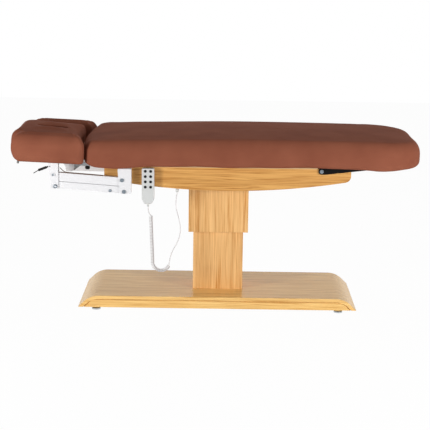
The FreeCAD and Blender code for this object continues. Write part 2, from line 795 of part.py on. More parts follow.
def armrest_pad(x, z):
    """Crowned armrest pad above the upright; its inner end is set back round the mattress."""
    rows = []
    outer = -half_width
    inner = -half_width + armrest_width
    for rise, side, nose in pad_row_shares:
        inset = side * armrest_edge
        head = x - armrest_head_reach + nose * armrest_nose
        corners = [(head, outer + inset), (x + armrest_foot_reach_outer - inset, outer + inset),
                   (x + armrest_foot_reach_inner - inset, inner - inset), (head, inner - inset)]
        radii = [armrest_corner, armrest_corner / 2, armrest_corner / 2, armrest_corner / 2]
        rows.append(rounded_wire(corners, radii, level(z + armrest_lift + rise * armrest_thickness)))
    return swing(Part.makeLoft(rows, True, True), x, z + armrest_lift, armrest_tilt)


def release_lever(x, z):
    """Black release lever hung between the upright's plates."""
    low = linkage_inner + linkage_plate + fit_gap
    high = linkage_outer - linkage_plate - fit_gap
    pivot_x = x + lever_pivot_x
    pivot_z = z + lever_pivot_z
    boss = across(pivot_x, pivot_z, low, high, lever_boss)
    pin = across(pivot_x, pivot_z, linkage_inner, linkage_outer, lever_pin_radius)
    start = space(pivot_x, -linkage_middle, pivot_z)
    bend = start + space(-lever_reach, 0, -lever_drop)
    tip = bend + space(-lever_tip_reach, 0, -lever_tip_drop)
    neck = start + (bend - start) * (1 / 3)
    arm = rod(start, bend, lever_thickness / 2)
    grip = rod(neck, bend, lever_grip_radius)
    wire = rod(bend, tip, lever_tip_radius)
    return boss.fuse([pin, arm, grip, wire]).removeSplitter()


def armrest_side(angle):
    """The moving pieces of the near armrest, for one rest angle of its links."""
    x = bracket_upper_x
    z = bracket_upper_z
    turn = math.radians(angle)
    top_x = x - link_length * math.cos(turn)
    top_z = z + link_length * math.sin(turn)
    low_x = x + pivot_step_x
    low_z = z - pivot_step_z
    upper = swing(link(x, z, upper_link_above, upper_link_below, True), x, z, angle)
    lower = swing(link(low_x, low_z, lower_link_above, lower_link_below, False), low_x, low_z, angle)
    return {"upper_link": upper, "lower_link": lower, "upright": upright(top_x, top_z),
            "armrest_pad": armrest_pad(top_x, top_z), "release_lever": release_lever(top_x, top_z)}


def armrest_pieces():
    """Both armrests with their links, and the brackets on the rails."""
    pieces = {"link_brackets": both_sides(bracket())}
    for name, shape in armrest_side(near_link_angle).items():
        pieces["near_" + name] = shape
    for name, shape in armrest_side(far_link_angle).items():
        pieces["far_" + name] = mirrored(shape)
    return pieces


def pivot_bolts():
    """Bolts of both brackets and of both leg arms."""
    bolts = []
    for x, z in ((bracket_upper_x, bracket_upper_z),
                 (bracket_upper_x + pivot_step_x, bracket_upper_z - pivot_step_z)):
        bolts.append(pivot_pin(x, z))
    arm_outer = rail_half_span + 2 * fit_gap + leg_arm_thickness
    stem = across(leg_pivot_x, leg_pivot_z, rail_half_span - rail_thickness, arm_outer, pivot_bolt_radius)
    head = across(leg_pivot_x, leg_pivot_z, arm_outer, arm_outer + pivot_head_height, pivot_head_radius)
    bolts.append(stem.fuse(head))
    return {"pivot_bolts": Part.makeCompound(bolts + [mirrored(bolt) for bolt in bolts])}


def button_places():
    """Centres of the buttons, row by row from the top."""
    first_x = handset_x - button_pitch * (button_columns - 1) / 2
    first_z = handset_top - button_first_drop
    return [(first_x + column * button_pitch, first_z - row * button_pitch)
            for row in range(button_rows) for column in range(button_columns)]


def handset_pieces():
    """Two handset shells, eight buttons, the cradle on the rail and the cord's strain relief."""
    half = handset_width / 2
    low = handset_top - handset_length
    points = [(handset_x - half + handset_taper, low), (handset_x + half - handset_taper, low),
              (handset_x + half, low + handset_taper_length), (handset_x + half, handset_top),
              (handset_x - half, handset_top), (handset_x - half, low + handset_taper_length)]
    radii = 2 * [handset_corner, handset_corner, handset_taper_length / 3]
    front = plate(points, radii, -handset_front, -handset_split)
    back = plate(points, radii, -handset_split, -handset_back)
    rims = [edge for edge in front.Edges if edge.BoundBox.YMax < -handset_front + fit_gap]
    front = front.makeFillet(handset_edge, rims)
    pieces = {}
    well_end = handset_front + button_proud - button_length - button_travel - button_gap
    for index, (x, z) in enumerate(button_places()):
        front = front.cut(across(x, z, well_end, handset_front + overrun, button_radius + button_gap))
        face = handset_front + button_proud
        button = across(x, z, face - button_length, face, button_radius)
        rim = [edge for edge in button.Edges if edge.BoundBox.YMax < -face + fit_gap]
        pieces["button_%d" % (index + 1)] = button.makeFillet(button_dome, rim)
    cradle = plate(rectangle(handset_x - cradle_width / 2, handset_x + cradle_width / 2,
                             handset_top - cradle_height, handset_top - overrun),
                   [cradle_corner] * 4, -handset_back, -rail_half_span)
    relief = turned([(0, 0), (relief_tip_radius, 0), (relief_root_radius, relief_length), (0, relief_length)],
                    space(upper_route[0][0], upper_route[0][1], low - relief_length))
    pieces.update({"handset_front_shell": front, "handset_back_shell": back, "handset_cradle": cradle,
                   "handset_strain_relief": relief})
    return pieces


def control_pieces():
    """Control box under the main board, with a mains inlet in its far end."""
    half = box_width / 2
    low = rail_top - box_height
    case = slab(rectangle(box_x - box_length / 2, box_x + box_length / 2, -half, half), [box_corner] * 4,
                low, rail_top)
    middle = low + box_height / 2
    inlet = block(box_x - inlet_width / 2, box_x + inlet_width / 2, half, half + inlet_depth,
                  middle - inlet_height / 2, middle + inlet_height / 2)
    well = block(box_x - inlet_width / 2 + inlet_wall, box_x + inlet_width / 2 - inlet_wall,
                 half + inlet_wall,
                 half + inlet_depth + overrun, middle - inlet_height / 2 + inlet_wall,
                 middle + inlet_height / 2 - inlet_wall)
    return {"control_box": case, "mains_inlet": inlet.cut(well)}


def arc_between(start, control, end):
    """Arc that leaves start towards control and reaches end from it."""
    weight = (end - start).Length / 2 / (control - start).Length
    middle = (start + control * (2 * weight) + end) * (1 / (2 + 2 * weight))
    return Part.Arc(start, middle, end).toShape()


def biarc(start, start_way, end, end_way):
    """Two tangent arcs from one point and direction to the next."""
    gap = end - start
    ways = start_way + end_way
    spread = 2 * (1 - start_way.dot(end_way))
    along = gap.dot(ways)
    reach = (math.sqrt(along * along + spread * gap.dot(gap)) - along) / spread
    first = start + start_way * reach
    second = end - end_way * reach
    middle = (first + second) * 0.5
    return [arc_between(start, first, middle), arc_between(middle, second, end)]


def route_tube(name, points, start_way):
    """Round cord along straight runs joined by arcs as large as the runs allow."""
    edges = []
    last = points[0]
    radii = []
    for before, corner, after in zip(points, points[1:], points[2:]):
        back = before - corner
        ahead = after - corner
        reach = min(back.Length, ahead.Length) * route_reach_share
        half = back.getAngle(ahead) / 2
        back.normalize()
        ahead.normalize()
        radii.append(reach * math.tan(half))
        edges.append(Part.LineSegment(last, corner + back * reach).toShape())
        edges.append(arc_between(corner + back * reach, corner, corner + ahead * reach))
        last = corner + ahead * reach
    edges.append(Part.LineSegment(last, points[-1]).toShape())
    length = sum(edge.Length for edge in edges)
    solid = sweep(edges, points[0], start_way)
    ratio = solid.Volume / (math.pi * (cord_diameter / 2) ** 2 * length)
    print(name, "radii", [round(radius, 1) for radius in radii], "length", round(length, 1), "volume ratio",
          round(ratio, 4))
    return solid


def sweep(edges, start, way):
    """Round cord swept along joined edges."""
    circle = Part.Wire(Part.Circle(start, way, cord_diameter / 2).toShape())
    shell = Part.BRepOffsetAPI.MakePipeShell(Part.Wire(edges))
    shell.add(circle)
    shell.build()
    shell.makeSolid()
    return shell.shape()


def coil_axis(share):
    """Point and direction on the coil's hanging axis, by share of its length."""
    down = coil_low - coil_top
    straight = down.Length
    bend = coil_bend_radius * math.radians(coil_bend_turn)
    along = share * (straight + bend)
    down.normalize()
    side = space(-down.z, 0, down.x)
    if along <= straight:
        return coil_top + down * along, down
    angle = (along - straight) / coil_bend_radius
    centre = coil_low + side * coil_bend_radius
    point = centre - side * (coil_bend_radius * math.cos(angle)) + down * (coil_bend_radius * math.sin(angle))
    return point, down * math.cos(angle) + side * math.sin(angle)


def coil_point(share):
    """Point of the wound cord, by share of the coil's length."""
    point, way = coil_axis(share)
    side = space(-way.z, 0, way.x)
    turn = 2 * math.pi * coil_turns * share
    return point - side * (coil_radius * math.cos(turn)) + space(0, 1, 0) * (coil_radius * math.sin(turn))


def coil_way(share):
    """Direction of the wound cord, from points just before and after."""
    step = coil_probe_share / coil_turns
    return (coil_point(share + step) - coil_point(share - step)).normalize()


def least_gap(points):
    """Least clear distance between turns, measured on points a full turn apart."""
    span = coil_check_steps * 3 // 4
    nearest = min((first - second).Length for index, first in enumerate(points)
                  for second in points[index + span: index + 3 * span])
    return nearest - cord_diameter


def cord_pieces():
    """Thin upper stretch, curly middle, thin lower stretch and the gland that it goes into."""
    shares = [step / (coil_turns * coil_steps) for step in range(coil_turns * coil_steps + 1)]
    points = [coil_point(share) for share in shares]
    ways = [coil_way(share) for share in shares]
    upper = [space(*point) for point in upper_route]
    lower = [space(*point) for point in lower_route]
    in_way = (upper[-1] - upper[-2]).normalize()
    entry = upper[-1] + in_way * cord_diameter
    out_way = (lower[0] - points[-1]).normalize()
    leave = points[-1] + out_way * coil_lead + ways[-1] * (coil_lead / 2)
    out_way = (lower[0] - leave).normalize()
    edges = [Part.LineSegment(upper[-1], entry).toShape()]
    edges += biarc(entry, in_way, points[0], ways[0])
    for index in range(len(points) - 1):
        edges += biarc(points[index], ways[index], points[index + 1], ways[index + 1])
    edges += biarc(points[-1], ways[-1], leave, out_way)
    edges.append(Part.LineSegment(leave, leave + out_way * cord_diameter).toShape())
    coil = sweep(edges, upper[-1], in_way)
    length = sum(edge.Length for edge in edges)
    ratio = coil.Volume / (math.pi * (cord_diameter / 2) ** 2 * length)
    steps = coil_turns * coil_check_steps
    fine = [coil_point(step / steps) for step in range(steps + 1)]
    print("coil length", round(length, 1), "volume ratio", round(ratio, 4), "least gap",
          round(least_gap(fine), 2))
    upper_tube = route_tube("cord_upper", upper, upper[1] - upper[0])
    lower_tube = route_tube("cord_lower", [leave + out_way * cord_diameter] + lower, out_way)
    foot = lower[-1]
    top = gland_length + gland_spigot_length
    gland = turned([(0, 0), (gland_radius * 2 / 3, 0), (gland_radius, gland_length * 2 / 3),
                    (gland_spigot_radius, gland_length),
                    (gland_spigot_radius, top), (0, top)], foot)
    return {"cord_upper": upper_tube, "cord_coil": coil, "cord_lower": lower_tube, "cord_gland": gland}


# Shares used along the cord
route_reach_share = 0.45
coil_probe_share = 0.002
coil_check_steps = 24


def main():
    """Builds every piece and writes each to its own file."""
    os.makedirs("parts", exist_ok=True)
    builders = (base_pieces, feet, lift_pieces, cover_pieces, frame_pieces, mattress_pieces, leg_pieces,
                headrest_pieces, headrest_hinge_pieces, armrest_pieces, pivot_bolts, handset_pieces,
                control_pieces, cord_pieces)
    box = FreeCAD.BoundBox()
    for builder in builders:
        for name, shape in builder().items():
            print(name, "solids", len(shape.Solids), "valid", shape.isValid())
            shape.exportStep("parts/%s.step" % name)
            if not name.startswith("cord_"):
                box.add(shape.BoundBox)
    print("box", [round(value, 2) for value in (box.XMin, box.XMax, box.YMin, box.YMax, box.ZMin, box.ZMax)])


main()
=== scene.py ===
"""Spa bed in a white studio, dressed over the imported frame."""

import json
import logging
import math
from collections.abc import Callable, Iterable, Iterator, Sequence
from dataclasses import dataclass, field
from enum import Enum

import bmesh
import bpy
import numpy as np
from mathutils import Matrix, Vector


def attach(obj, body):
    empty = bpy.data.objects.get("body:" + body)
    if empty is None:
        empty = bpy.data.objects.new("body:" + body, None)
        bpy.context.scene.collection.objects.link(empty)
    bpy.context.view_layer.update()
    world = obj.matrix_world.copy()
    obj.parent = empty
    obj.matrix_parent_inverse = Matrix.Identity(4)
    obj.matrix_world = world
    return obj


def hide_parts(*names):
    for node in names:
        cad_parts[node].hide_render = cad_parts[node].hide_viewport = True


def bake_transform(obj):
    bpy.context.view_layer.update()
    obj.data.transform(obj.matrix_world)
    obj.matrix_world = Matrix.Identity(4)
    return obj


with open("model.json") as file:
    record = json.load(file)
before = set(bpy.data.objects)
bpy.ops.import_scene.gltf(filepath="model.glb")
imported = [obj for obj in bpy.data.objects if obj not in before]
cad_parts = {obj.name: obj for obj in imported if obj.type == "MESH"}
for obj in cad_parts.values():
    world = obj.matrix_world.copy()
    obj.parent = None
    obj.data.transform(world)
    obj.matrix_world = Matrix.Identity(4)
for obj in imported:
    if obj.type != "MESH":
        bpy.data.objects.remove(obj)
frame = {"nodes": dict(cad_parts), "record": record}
log = logging.getLogger("spa_bed")

Point = tuple[float, float, float]
Colour = tuple[float, float, float, float]
Socket = bpy.types.NodeSocket
Material = bpy.types.Material
Piece = bpy.types.Object


def linear(code: str) -> Colour:
    """Linear RGBA of an sRGB hex code, by the sRGB curve on each channel."""
    srgb = np.array([int(code[i:i + 2], 16) for i in (1, 3, 5)]) / 255.0
    values = np.where(srgb <= 0.04045, srgb / 12.92, ((srgb + 0.055) / 1.055) ** 2.4)
    return (*(float(v) for v in values), 1.0)


class Grain(Enum):
    """Axis along which the wood fibres run, as stretch factors in X, Y and Z."""

    ALONG_X = (0.02, 1.0, 1.0)
    ALONG_Z = (1.0, 1.0, 0.02)


@dataclass(frozen=True)
class Finish:
    """How one real material looks: colours as hex codes, pattern sizes in metres.

    The figure is how far slow noise shifts wood's streaks: high values give arches.
    """

    name: str
    light: str
    dark: str
    rough: float
    cell: float
    bump: float = 0.0
    metal: float = 0.0
    specular: float = 0.5
    figure: float = 0.0


# The three ash finishes stand for one veneer. The base's colours are painted lighter for the light on its
# front, and the rail's are painted darker for the shade under the mattress's overhang. The column's lie
# between them. Their grain and figure differ for real.
SHADED_ASH_RAIL = Finish("ash veneer with arched figure", "#DBA75F", "#A4661F", 0.36, 0.007, 0.00004,
                  specular=0.35, figure=0.1)
ASH_COLUMN = Finish("ash veneer with upright grain", "#EEC082", "#C68841", 0.38, 0.006, 0.00004,
                    specular=0.35, figure=0.035)
LIT_ASH_BASE = Finish("ash veneer with level grain", "#FFD68C", "#D29A4E", 0.26, 0.006, 0.00004,
                  specular=0.22, figure=0.03)
PLYWOOD = Finish("birch plywood", "#D2B48A", "#A98558", 0.62, 0.0016)
LEATHERETTE = Finish("PVC leatherette on foam", "#8C5440", "#804A38", 0.66, 0.0014, 0.00008, specular=0.02)
POWDER = Finish("white powder coat on steel", "#E2E2E4", "#D8D8DA", 0.36, 0.0009, 0.00003)
ZINC = Finish("zinc-plated steel", "#8E979F", "#6F7982", 0.34, 0.004, 0.00002, metal=1.0)
BRIGHT_ZINC = Finish("bright galvanised steel", "#C3C7CA", "#A4A9AD", 0.3, 0.006, 0.00002, metal=1.0)
BLACK_PAINT = Finish("black stoved paint on steel", "#070607", "#040404", 0.5, 0.0012, 0.00003, specular=0.1)
ALUMINIUM = Finish("anodised aluminium extrusion", "#D0D2D4", "#B9BCBF", 0.36, 0.0018, 0.00002, metal=1.0)
DARK_ABS = Finish("black moulded ABS", "#161516", "#0F0E0F", 0.5, 0.0007, 0.00003, specular=0.25)
GREY_ABS = Finish("light grey moulded ABS", "#CDCECD", "#C1C3C2", 0.44, 0.0007, 0.00002)
PEG_ABS = Finish("dark grey moulded ABS", "#6C6E6B", "#585A58", 0.46, 0.0007, 0.00002)
CORD_PVC = Finish("soft PVC cord jacket", "#DCD9D9", "#CDCACA", 0.42, 0.001, 0.00002)
# The rod's brown is painted shade and a painted reflection of the cushion along the top of the white link.
SHADE_BROWN_ROD = Finish("steel rod painted brown as shade", "#8A6A52", "#5F4739", 0.35, 0.002, 0.00001, metal=0.6)


# Multipliers for the darker zones and the pore lines of wood.
WOOD_CLEAR = (1.0, 1.0, 1.0, 1.0)
WOOD_SHADE = (0.86, 0.82, 0.76, 1.0)
WOOD_PORE = (0.76, 0.7, 0.6, 1.0)
# Share of the light colour in wood's middle tone, and the weights of its darker zones and its pores.
WOOD_MIDDLE = 0.6
TONE_WEIGHT = 0.7
PORE_WEIGHT = 0.5
# Streaks to the width of a darker zone, pores to the width of a streak, and the power that draws pores out.
STREAKS_PER_TONE = 5
PORES_PER_STREAK = 5
PORE_DRAW = 1.4
# Size in metres of wood's slow figure and of the cover's blotches.
SLOW_FIGURE = 0.12
COVER_BLOTCH = 0.18
# Values of the noise, or of the ply's band, at which the ramps change colour.
STREAK_STOPS = (0.3, 0.44, 0.6)
TONE_STOPS = (0.3, 0.65)
PORE_STOPS = (0.32, 0.5)
GRAIN_STOPS = (0.35, 0.65)
EVEN_STOPS = (0.3, 0.7)
# How strongly the finer octaves show in noise of a given size.
NOISE_ROUGHNESS = 0.55


class Nodes:
    """Nodes and links of a material or a world, with one way to add to them."""

    def __init__(self, owner: Material | bpy.types.World) -> None:
        """Switches the owner to nodes and holds its tree."""
        owner.use_nodes = True
        self.nodes = owner.node_tree.nodes
        self.links = owner.node_tree.links

    def add(self, kind: str, inputs: dict | None = None, **settings: object) -> bpy.types.Node:
        """Adds a node.

        Args:
            kind: Blender's node type.
            inputs: Values or output sockets by input name or index.
            settings: Plain node properties.

        Returns:
            The node, linked and set.
        """
        node = self.nodes.new(kind)
        for key, value in settings.items():
            setattr(node, key, value)
        self.fill(node, inputs or {})
        return node

    def fill(self, node: bpy.types.Node, inputs: dict) -> None:
        """Links or sets the inputs of a node.

        Args:
            node: Any node of the tree.
            inputs: Values or output sockets by input name or index.
        """
        for key, value in inputs.items():
            if isinstance(value, Socket):
                self.links.new(value, node.inputs[key])
            else:
                node.inputs[key].default_value = value

    def seen(self) -> Socket:
        """One for rays from the camera and from mirror-like faces, so that metal shows the backdrop too."""
        path = self.add("ShaderNodeLightPath").outputs
        inputs = {0: path["Is Camera Ray"], 1: path["Is Glossy Ray"]}
        return self.add("ShaderNodeMath", inputs, operation="MAXIMUM").outputs[0]


class Shader(Nodes):
    """Node tree of one material, with its texture coordinates and surface shader."""

    def __init__(self, finish: Finish) -> None:
        """Starts a material with a surface shader set from the finish."""
        self.finish = finish
        self.material = bpy.data.materials.new(finish.name)
        super().__init__(self.material)
        self.surface = self.nodes["Principled BSDF"]
        self.fill(self.surface, {"Metallic": finish.metal, "Roughness": finish.rough,
                                 "Specular IOR Level": finish.specular})
        self.place = self.add("ShaderNodeTexCoord").outputs["Object"]

    def stretched(self, factors: Sequence[float]) -> Socket:
        """Object coordinates scaled by the factors, so that patterns draw out along the small ones."""
        return self.add("ShaderNodeMapping", {"Vector": self.place, "Scale": factors}).outputs[0]

    def noise(self, vector: Socket, size: float, detail: float = 3.0) -> Socket:
        """Noise whose blotches are about size metres across."""
        inputs = {"Vector": vector, "Scale": 1.0 / size, "Detail": detail, "Roughness": NOISE_ROUGHNESS}
        return self.add("ShaderNodeTexNoise", inputs).outputs["Fac"]

    def ramp(self, factor: Socket, stops: Sequence[float], colours: Sequence[Colour]) -> Socket:
        """Colour ramp through the stops.

        Args:
            factor: What the ramp reads.
            stops: Where the colours stand, from low to high.
            colours: One for each stop.

        Returns:
            The colour.
        """
        node = self.add("ShaderNodeValToRGB", {"Fac": factor})
        elements = node.color_ramp.elements
        for _ in stops[2:]:
            elements.new(0.5)
        for element, position, colour in zip(elements, stops, colours):
            element.position = position
            element.color = colour
        return node.outputs["Color"]

    def paint(self, colour: Socket, height: Socket | None = None) -> Material:
        """Links the base colour, and the height as a bump of the finish's depth.

        Args:
            colour: Base colour.
            height: Relief from 0 to 1, or None for a smooth face.

        Returns:
            The finished material.
        """
        self.fill(self.surface, {"Base Color": colour})
        if height is not None:
            inputs = {"Height": height, "Distance": self.finish.bump, "Strength": 1.0}
            self.fill(self.surface, {"Normal": self.add("ShaderNodeBump", inputs).outputs["Normal"]})
        return self.material


def wood(finish: Finish, grain: Grain) -> Material:
    """Veneered wood.

    Streaks are noise drawn out along the grain, on places shifted by slow noise times the finish's figure, so
    that they bend into arches; tone is slower noise of the same kind, and pores are finer noise, drawn out
    further.

    Args:
        finish: Colours, width of the streaks and figure.
        grain: Fibre direction.

    Returns:
        The material.
    """
    shader = Shader(finish)
    inputs = {"Vector": shader.stretched(np.sqrt(grain.value)), "Scale": 1.0 / SLOW_FIGURE, "Detail": 1.0}
    slow = shader.add("ShaderNodeTexNoise", inputs).outputs["Color"]
    inputs = {0: slow, 1: (finish.figure,) * 3, 2: shader.place}
    shift = shader.add("ShaderNodeVectorMath", inputs, operation="MULTIPLY_ADD").outputs[0]
    drawn = shader.add("ShaderNodeMapping", {"Vector": shift, "Scale": grain.value}).outputs[0]
    early, late = linear(finish.light), linear(finish.dark)
    middle = tuple(WOOD_MIDDLE * a + (1 - WOOD_MIDDLE) * b for a, b in zip(early, late))
    streaks = shader.noise(drawn, finish.cell, detail=4.0)
    colour = shader.ramp(streaks, STREAK_STOPS, (late, middle, early))
    zones = shader.noise(drawn, STREAKS_PER_TONE * finish.cell, detail=1.0)
    tone = shader.ramp(zones, TONE_STOPS, (WOOD_SHADE, WOOD_CLEAR))
    drawn_pores = shader.stretched(np.power(grain.value, PORE_DRAW))
    pores = shader.noise(drawn_pores, finish.cell / PORES_PER_STREAK, detail=2.0)
    lines = shader.ramp(pores, PORE_STOPS, (WOOD_PORE, WOOD_CLEAR))
    for layer, weight in ((tone, TONE_WEIGHT), (lines, PORE_WEIGHT)):
        inputs = {"Factor": weight, "A": colour, "B": layer}
        mix = shader.add("ShaderNodeMix", inputs, data_type="RGBA", blend_type="MULTIPLY")
        colour = mix.outputs["Result"]
    return shader.paint(colour, pores)


def grainy(finish: Finish, factors: Sequence[float] = (1.0, 1.0, 1.0)) -> Material:
    """Moulded, painted or plated face: noise of the finish's cell mixes two close colours and is the relief.

    Args:
        finish: Colours, cell and relief.
        factors: Stretch of the noise in X, Y and Z.

    Returns:
        The material.
    """
    shader = Shader(finish)
    noise = shader.noise(shader.stretched(factors), finish.cell)
    colour = shader.ramp(noise, GRAIN_STOPS, (linear(finish.dark), linear(finish.light)))
    return shader.paint(colour, noise)


def leather(finish: Finish) -> Material:
    """Embossed leatherette: pebble cells for the relief, slow blotches for the colour.

    Args:
        finish: Colours, cell and relief.

    Returns:
        The material.
    """
    shader = Shader(finish)
    inputs = {"Vector": shader.place, "Scale": 1.0 / finish.cell}
    cells = shader.add("ShaderNodeTexVoronoi", inputs, feature="SMOOTH_F1")
    blotch = shader.noise(shader.place, COVER_BLOTCH, detail=2.0)
    colour = shader.ramp(blotch, EVEN_STOPS, (linear(finish.dark), linear(finish.light)))
    return shader.paint(colour, cells.outputs["Distance"])


def layered(finish: Finish) -> Material:
    """Plywood: plies as bands of the finish's cell in height.

    Args:
        finish: Colours and thickness of a ply.

    Returns:
        The material.
    """
    shader = Shader(finish)
    parts = shader.add("ShaderNodeSeparateXYZ", {"Vector": shader.place})
    plies = shader.add("ShaderNodeMath", {0: parts.outputs["Z"], 1: 1.0 / finish.cell}, operation="MULTIPLY")
    band = shader.add("ShaderNodeMath", {0: plies.outputs[0], 1: 1.0}, operation="PINGPONG").outputs[0]
    return shader.paint(shader.ramp(band, EVEN_STOPS, (linear(finish.light), linear(finish.dark))))


def made(recipe: Callable[..., Material], *details: object) -> Material:
    """Dataclass field that starts as the material which the recipe makes from the details."""
    return field(default_factory=lambda: recipe(*details))


@dataclass
class Wardrobe:
    """All materials, and which CAD node wears which."""

    # Straight grain on the base, upright grain on the column, arched figure on the rails. One ash carries
    # painted light in its colours:
    # lighter on the base for the light on its front, darker on the rail for the shade under the mattress's
    # overhang.
    lit_ash_x: Material = made(wood, LIT_ASH_BASE, Grain.ALONG_X)
    ash_z: Material = made(wood, ASH_COLUMN, Grain.ALONG_Z)
    shaded_ash_rail: Material = made(wood, SHADED_ASH_RAIL, Grain.ALONG_X)
    # Pale striped edges tell that the hidden boards are cut from sheet.
    plywood: Material = made(layered, PLYWOOD)
    # Fine pebbled relief breaks the highlight along the padded edges.
    leatherette: Material = made(leather, LEATHERETTE)
    # Slight orange peel softens the reflections on the white linkage and the headrest's leaves.
    powder: Material = made(grainy, POWDER)
    # Blue-grey metal picks the bolts out of the white; the feet and the headrest's hinge bars are brighter.
    zinc: Material = made(grainy, ZINC)
    bright_zinc: Material = made(grainy, BRIGHT_ZINC)
    # Deep black makes the hinge arms read as a dark line under the mattress.
    black_paint: Material = made(grainy, BLACK_PAINT)
    # Drawn-out streaks follow the extrusion of the lifting tubes.
    aluminium: Material = made(grainy, ALUMINIUM, Grain.ALONG_Z.value)
    # Spark-eroded mould grain keeps grips, buttons and pegs dull.
    dark_abs: Material = made(grainy, DARK_ABS)
    grey_abs: Material = made(grainy, GREY_ABS)
    peg_abs: Material = made(grainy, PEG_ABS)
    # Smooth soft jacket: each turn of the coil carries one soft highlight.
    cord_pvc: Material = made(grainy, CORD_PVC)
    # Brown rod paints a dark line along the top of the white link: painted shade, and a painted reflection of
    # the brown cushion on the link's top face.
    shade_brown_rod: Material = made(grainy, SHADE_BROWN_ROD)

    def dress(self) -> None:
        """Gives every CAD node its material by the record's slot, or its own where the node is named here."""
        by_slot = {
            "lacquered_ash": self.lit_ash_x, "plywood": self.plywood, "leatherette": self.leatherette,
            "white_steel": self.powder, "zinc_steel": self.zinc, "black_steel": self.black_paint,
            "lift_aluminium": self.aluminium, "dark_plastic": self.dark_abs, "grey_plastic": self.grey_abs,
            "cord_jacket": self.cord_pvc,
        }
        by_node = {
            "column_lower_cover": self.ash_z, "column_upper_cover": self.ash_z,
            "rail_near": self.shaded_ash_rail, "rail_far": self.shaded_ash_rail,
            "headrest_hinge_bars": self.bright_zinc, "headrest_leaves": self.powder,
            "foot_head_near": self.bright_zinc, "foot_head_far": self.bright_zinc,
            "foot_foot_near": self.bright_zinc, "foot_foot_far": self.bright_zinc,
        }
        for subpart in frame["record"]["subparts"]:
            node = frame["nodes"][subpart["node"]]
            material = by_node.get(node.name, by_slot[subpart["material_slot"]])
            node.data.materials.clear()
            node.data.materials.append(material)
            log.info("dressed %s in %s", node.name, material.name)


def new_mesh(name: str, points: np.ndarray, faces: Iterable[Sequence[int]], material: Material) -> Piece:
    """Links a smooth-shaded mesh object at the origin.

    Args:
        name: Object name.
        points: Vertices in metres, in the row frame.
        faces: Corner numbers of each face.
        material: What it wears.

    Returns:
        The object.
    """
    mesh = bpy.data.meshes.new(name)
    mesh.from_pydata(points.reshape(-1, 3), [], faces)
    mesh.polygons.foreach_set("use_smooth", np.ones(len(mesh.polygons), bool))
    mesh.update()
    mesh.materials.append(material)
    piece = bpy.data.objects.new(name, mesh)
    bpy.context.scene.collection.objects.link(piece)
    return piece


# Points nearer than this, in metres, are one point.
WELD_REACH = 0.0004


def weld(piece: Piece) -> None:
    """Closes the places where rings fall onto themselves, and turns all faces outwards."""
    mesh = bmesh.new()
    mesh.from_mesh(piece.data)
    bmesh.ops.remove_doubles(mesh, verts=mesh.verts, dist=WELD_REACH)
    bmesh.ops.recalc_face_normals(mesh, faces=mesh.faces)
    mesh.to_mesh(piece.data)
    mesh.free()


def grid_faces(rows: int, columns: int, rows_close: bool) -> np.ndarray:
    """Quads between neighbouring rows of a grid whose columns run round.

    Args:
        rows: Number of rows.
        columns: Number of columns.
        rows_close: Whether the last row joins the first.

    Returns:
        Corner numbers, four to a face.
    """
    row, column = np.meshgrid(np.arange(rows if rows_close else rows - 1), np.arange(columns), indexing="ij")
    here, on = row * columns, (row + 1) % rows * columns
    column_on = (column + 1) % columns
    return np.stack([here + column, here + column_on, on + column_on, on + column], axis=-1).reshape(-1, 4)


# Points of an arc.
ARC_STEPS = 16


def rounded_outline(corners: Sequence[tuple[float, float]], radii: Sequence[float],
                    step: float) -> np.ndarray:
    """Closed outline with arcs at the corners, cut into even steps.

    Args:
        corners: Corners in order, counter-clockwise, in metres.
        radii: Arc radius at each corner.
        step: Distance between points.

    Returns:
        Points as an array of (x, y).
    """
    places = np.asarray(corners, float)
    befores, afters = np.roll(places, 1, axis=0), np.roll(places, -1, axis=0)
    parts = []
    for place, before, after, radius in zip(places, befores, afters, radii):
        back = (before - place) / np.linalg.norm(before - place)
        on = (after - place) / np.linalg.norm(after - place)
        half = math.acos(float(np.clip(back @ on, -1, 1))) / 2
        centre = place + (back + on) / np.linalg.norm(back + on) * radius / math.sin(half)
        start = place + back * radius / math.tan(half) - centre
        sweep = np.linspace(0, math.pi - 2 * half, ARC_STEPS)
        c, s = np.cos(sweep), np.sin(sweep)
        turn = np.stack([c, -s, s, c], axis=-1).reshape(-1, 2, 2)
        parts.append(centre + turn @ start)
    line = np.concatenate(parts + [parts[0][:1]])
    length = np.concatenate([[0.0], np.cumsum(np.linalg.norm(np.diff(line, axis=0), axis=1))])
    even = np.linspace(0, length[-1], int(length[-1] / step), endpoint=False)
    return np.stack([np.interp(even, length, line[:, 0]), np.interp(even, length, line[:, 1])], axis=-1)


def tilted(points: np.ndarray, angle: float, x: float, z: float) -> np.ndarray:
    """Turns points about the Y axis, then moves them.

    Args:
        points: Points as an array of (x, y, z).
        angle: Turn in radians, which lifts the end at minus X.
        x: Move along X.
        z: Move along Z.

    Returns:
        The moved points.
    """
    c, s = math.cos(angle), math.sin(angle)
    along = x + points[:, 0] * c + points[:, 2] * s
    return np.stack([along, points[:, 1], z - points[:, 0] * s + points[:, 2] * c], axis=-1)


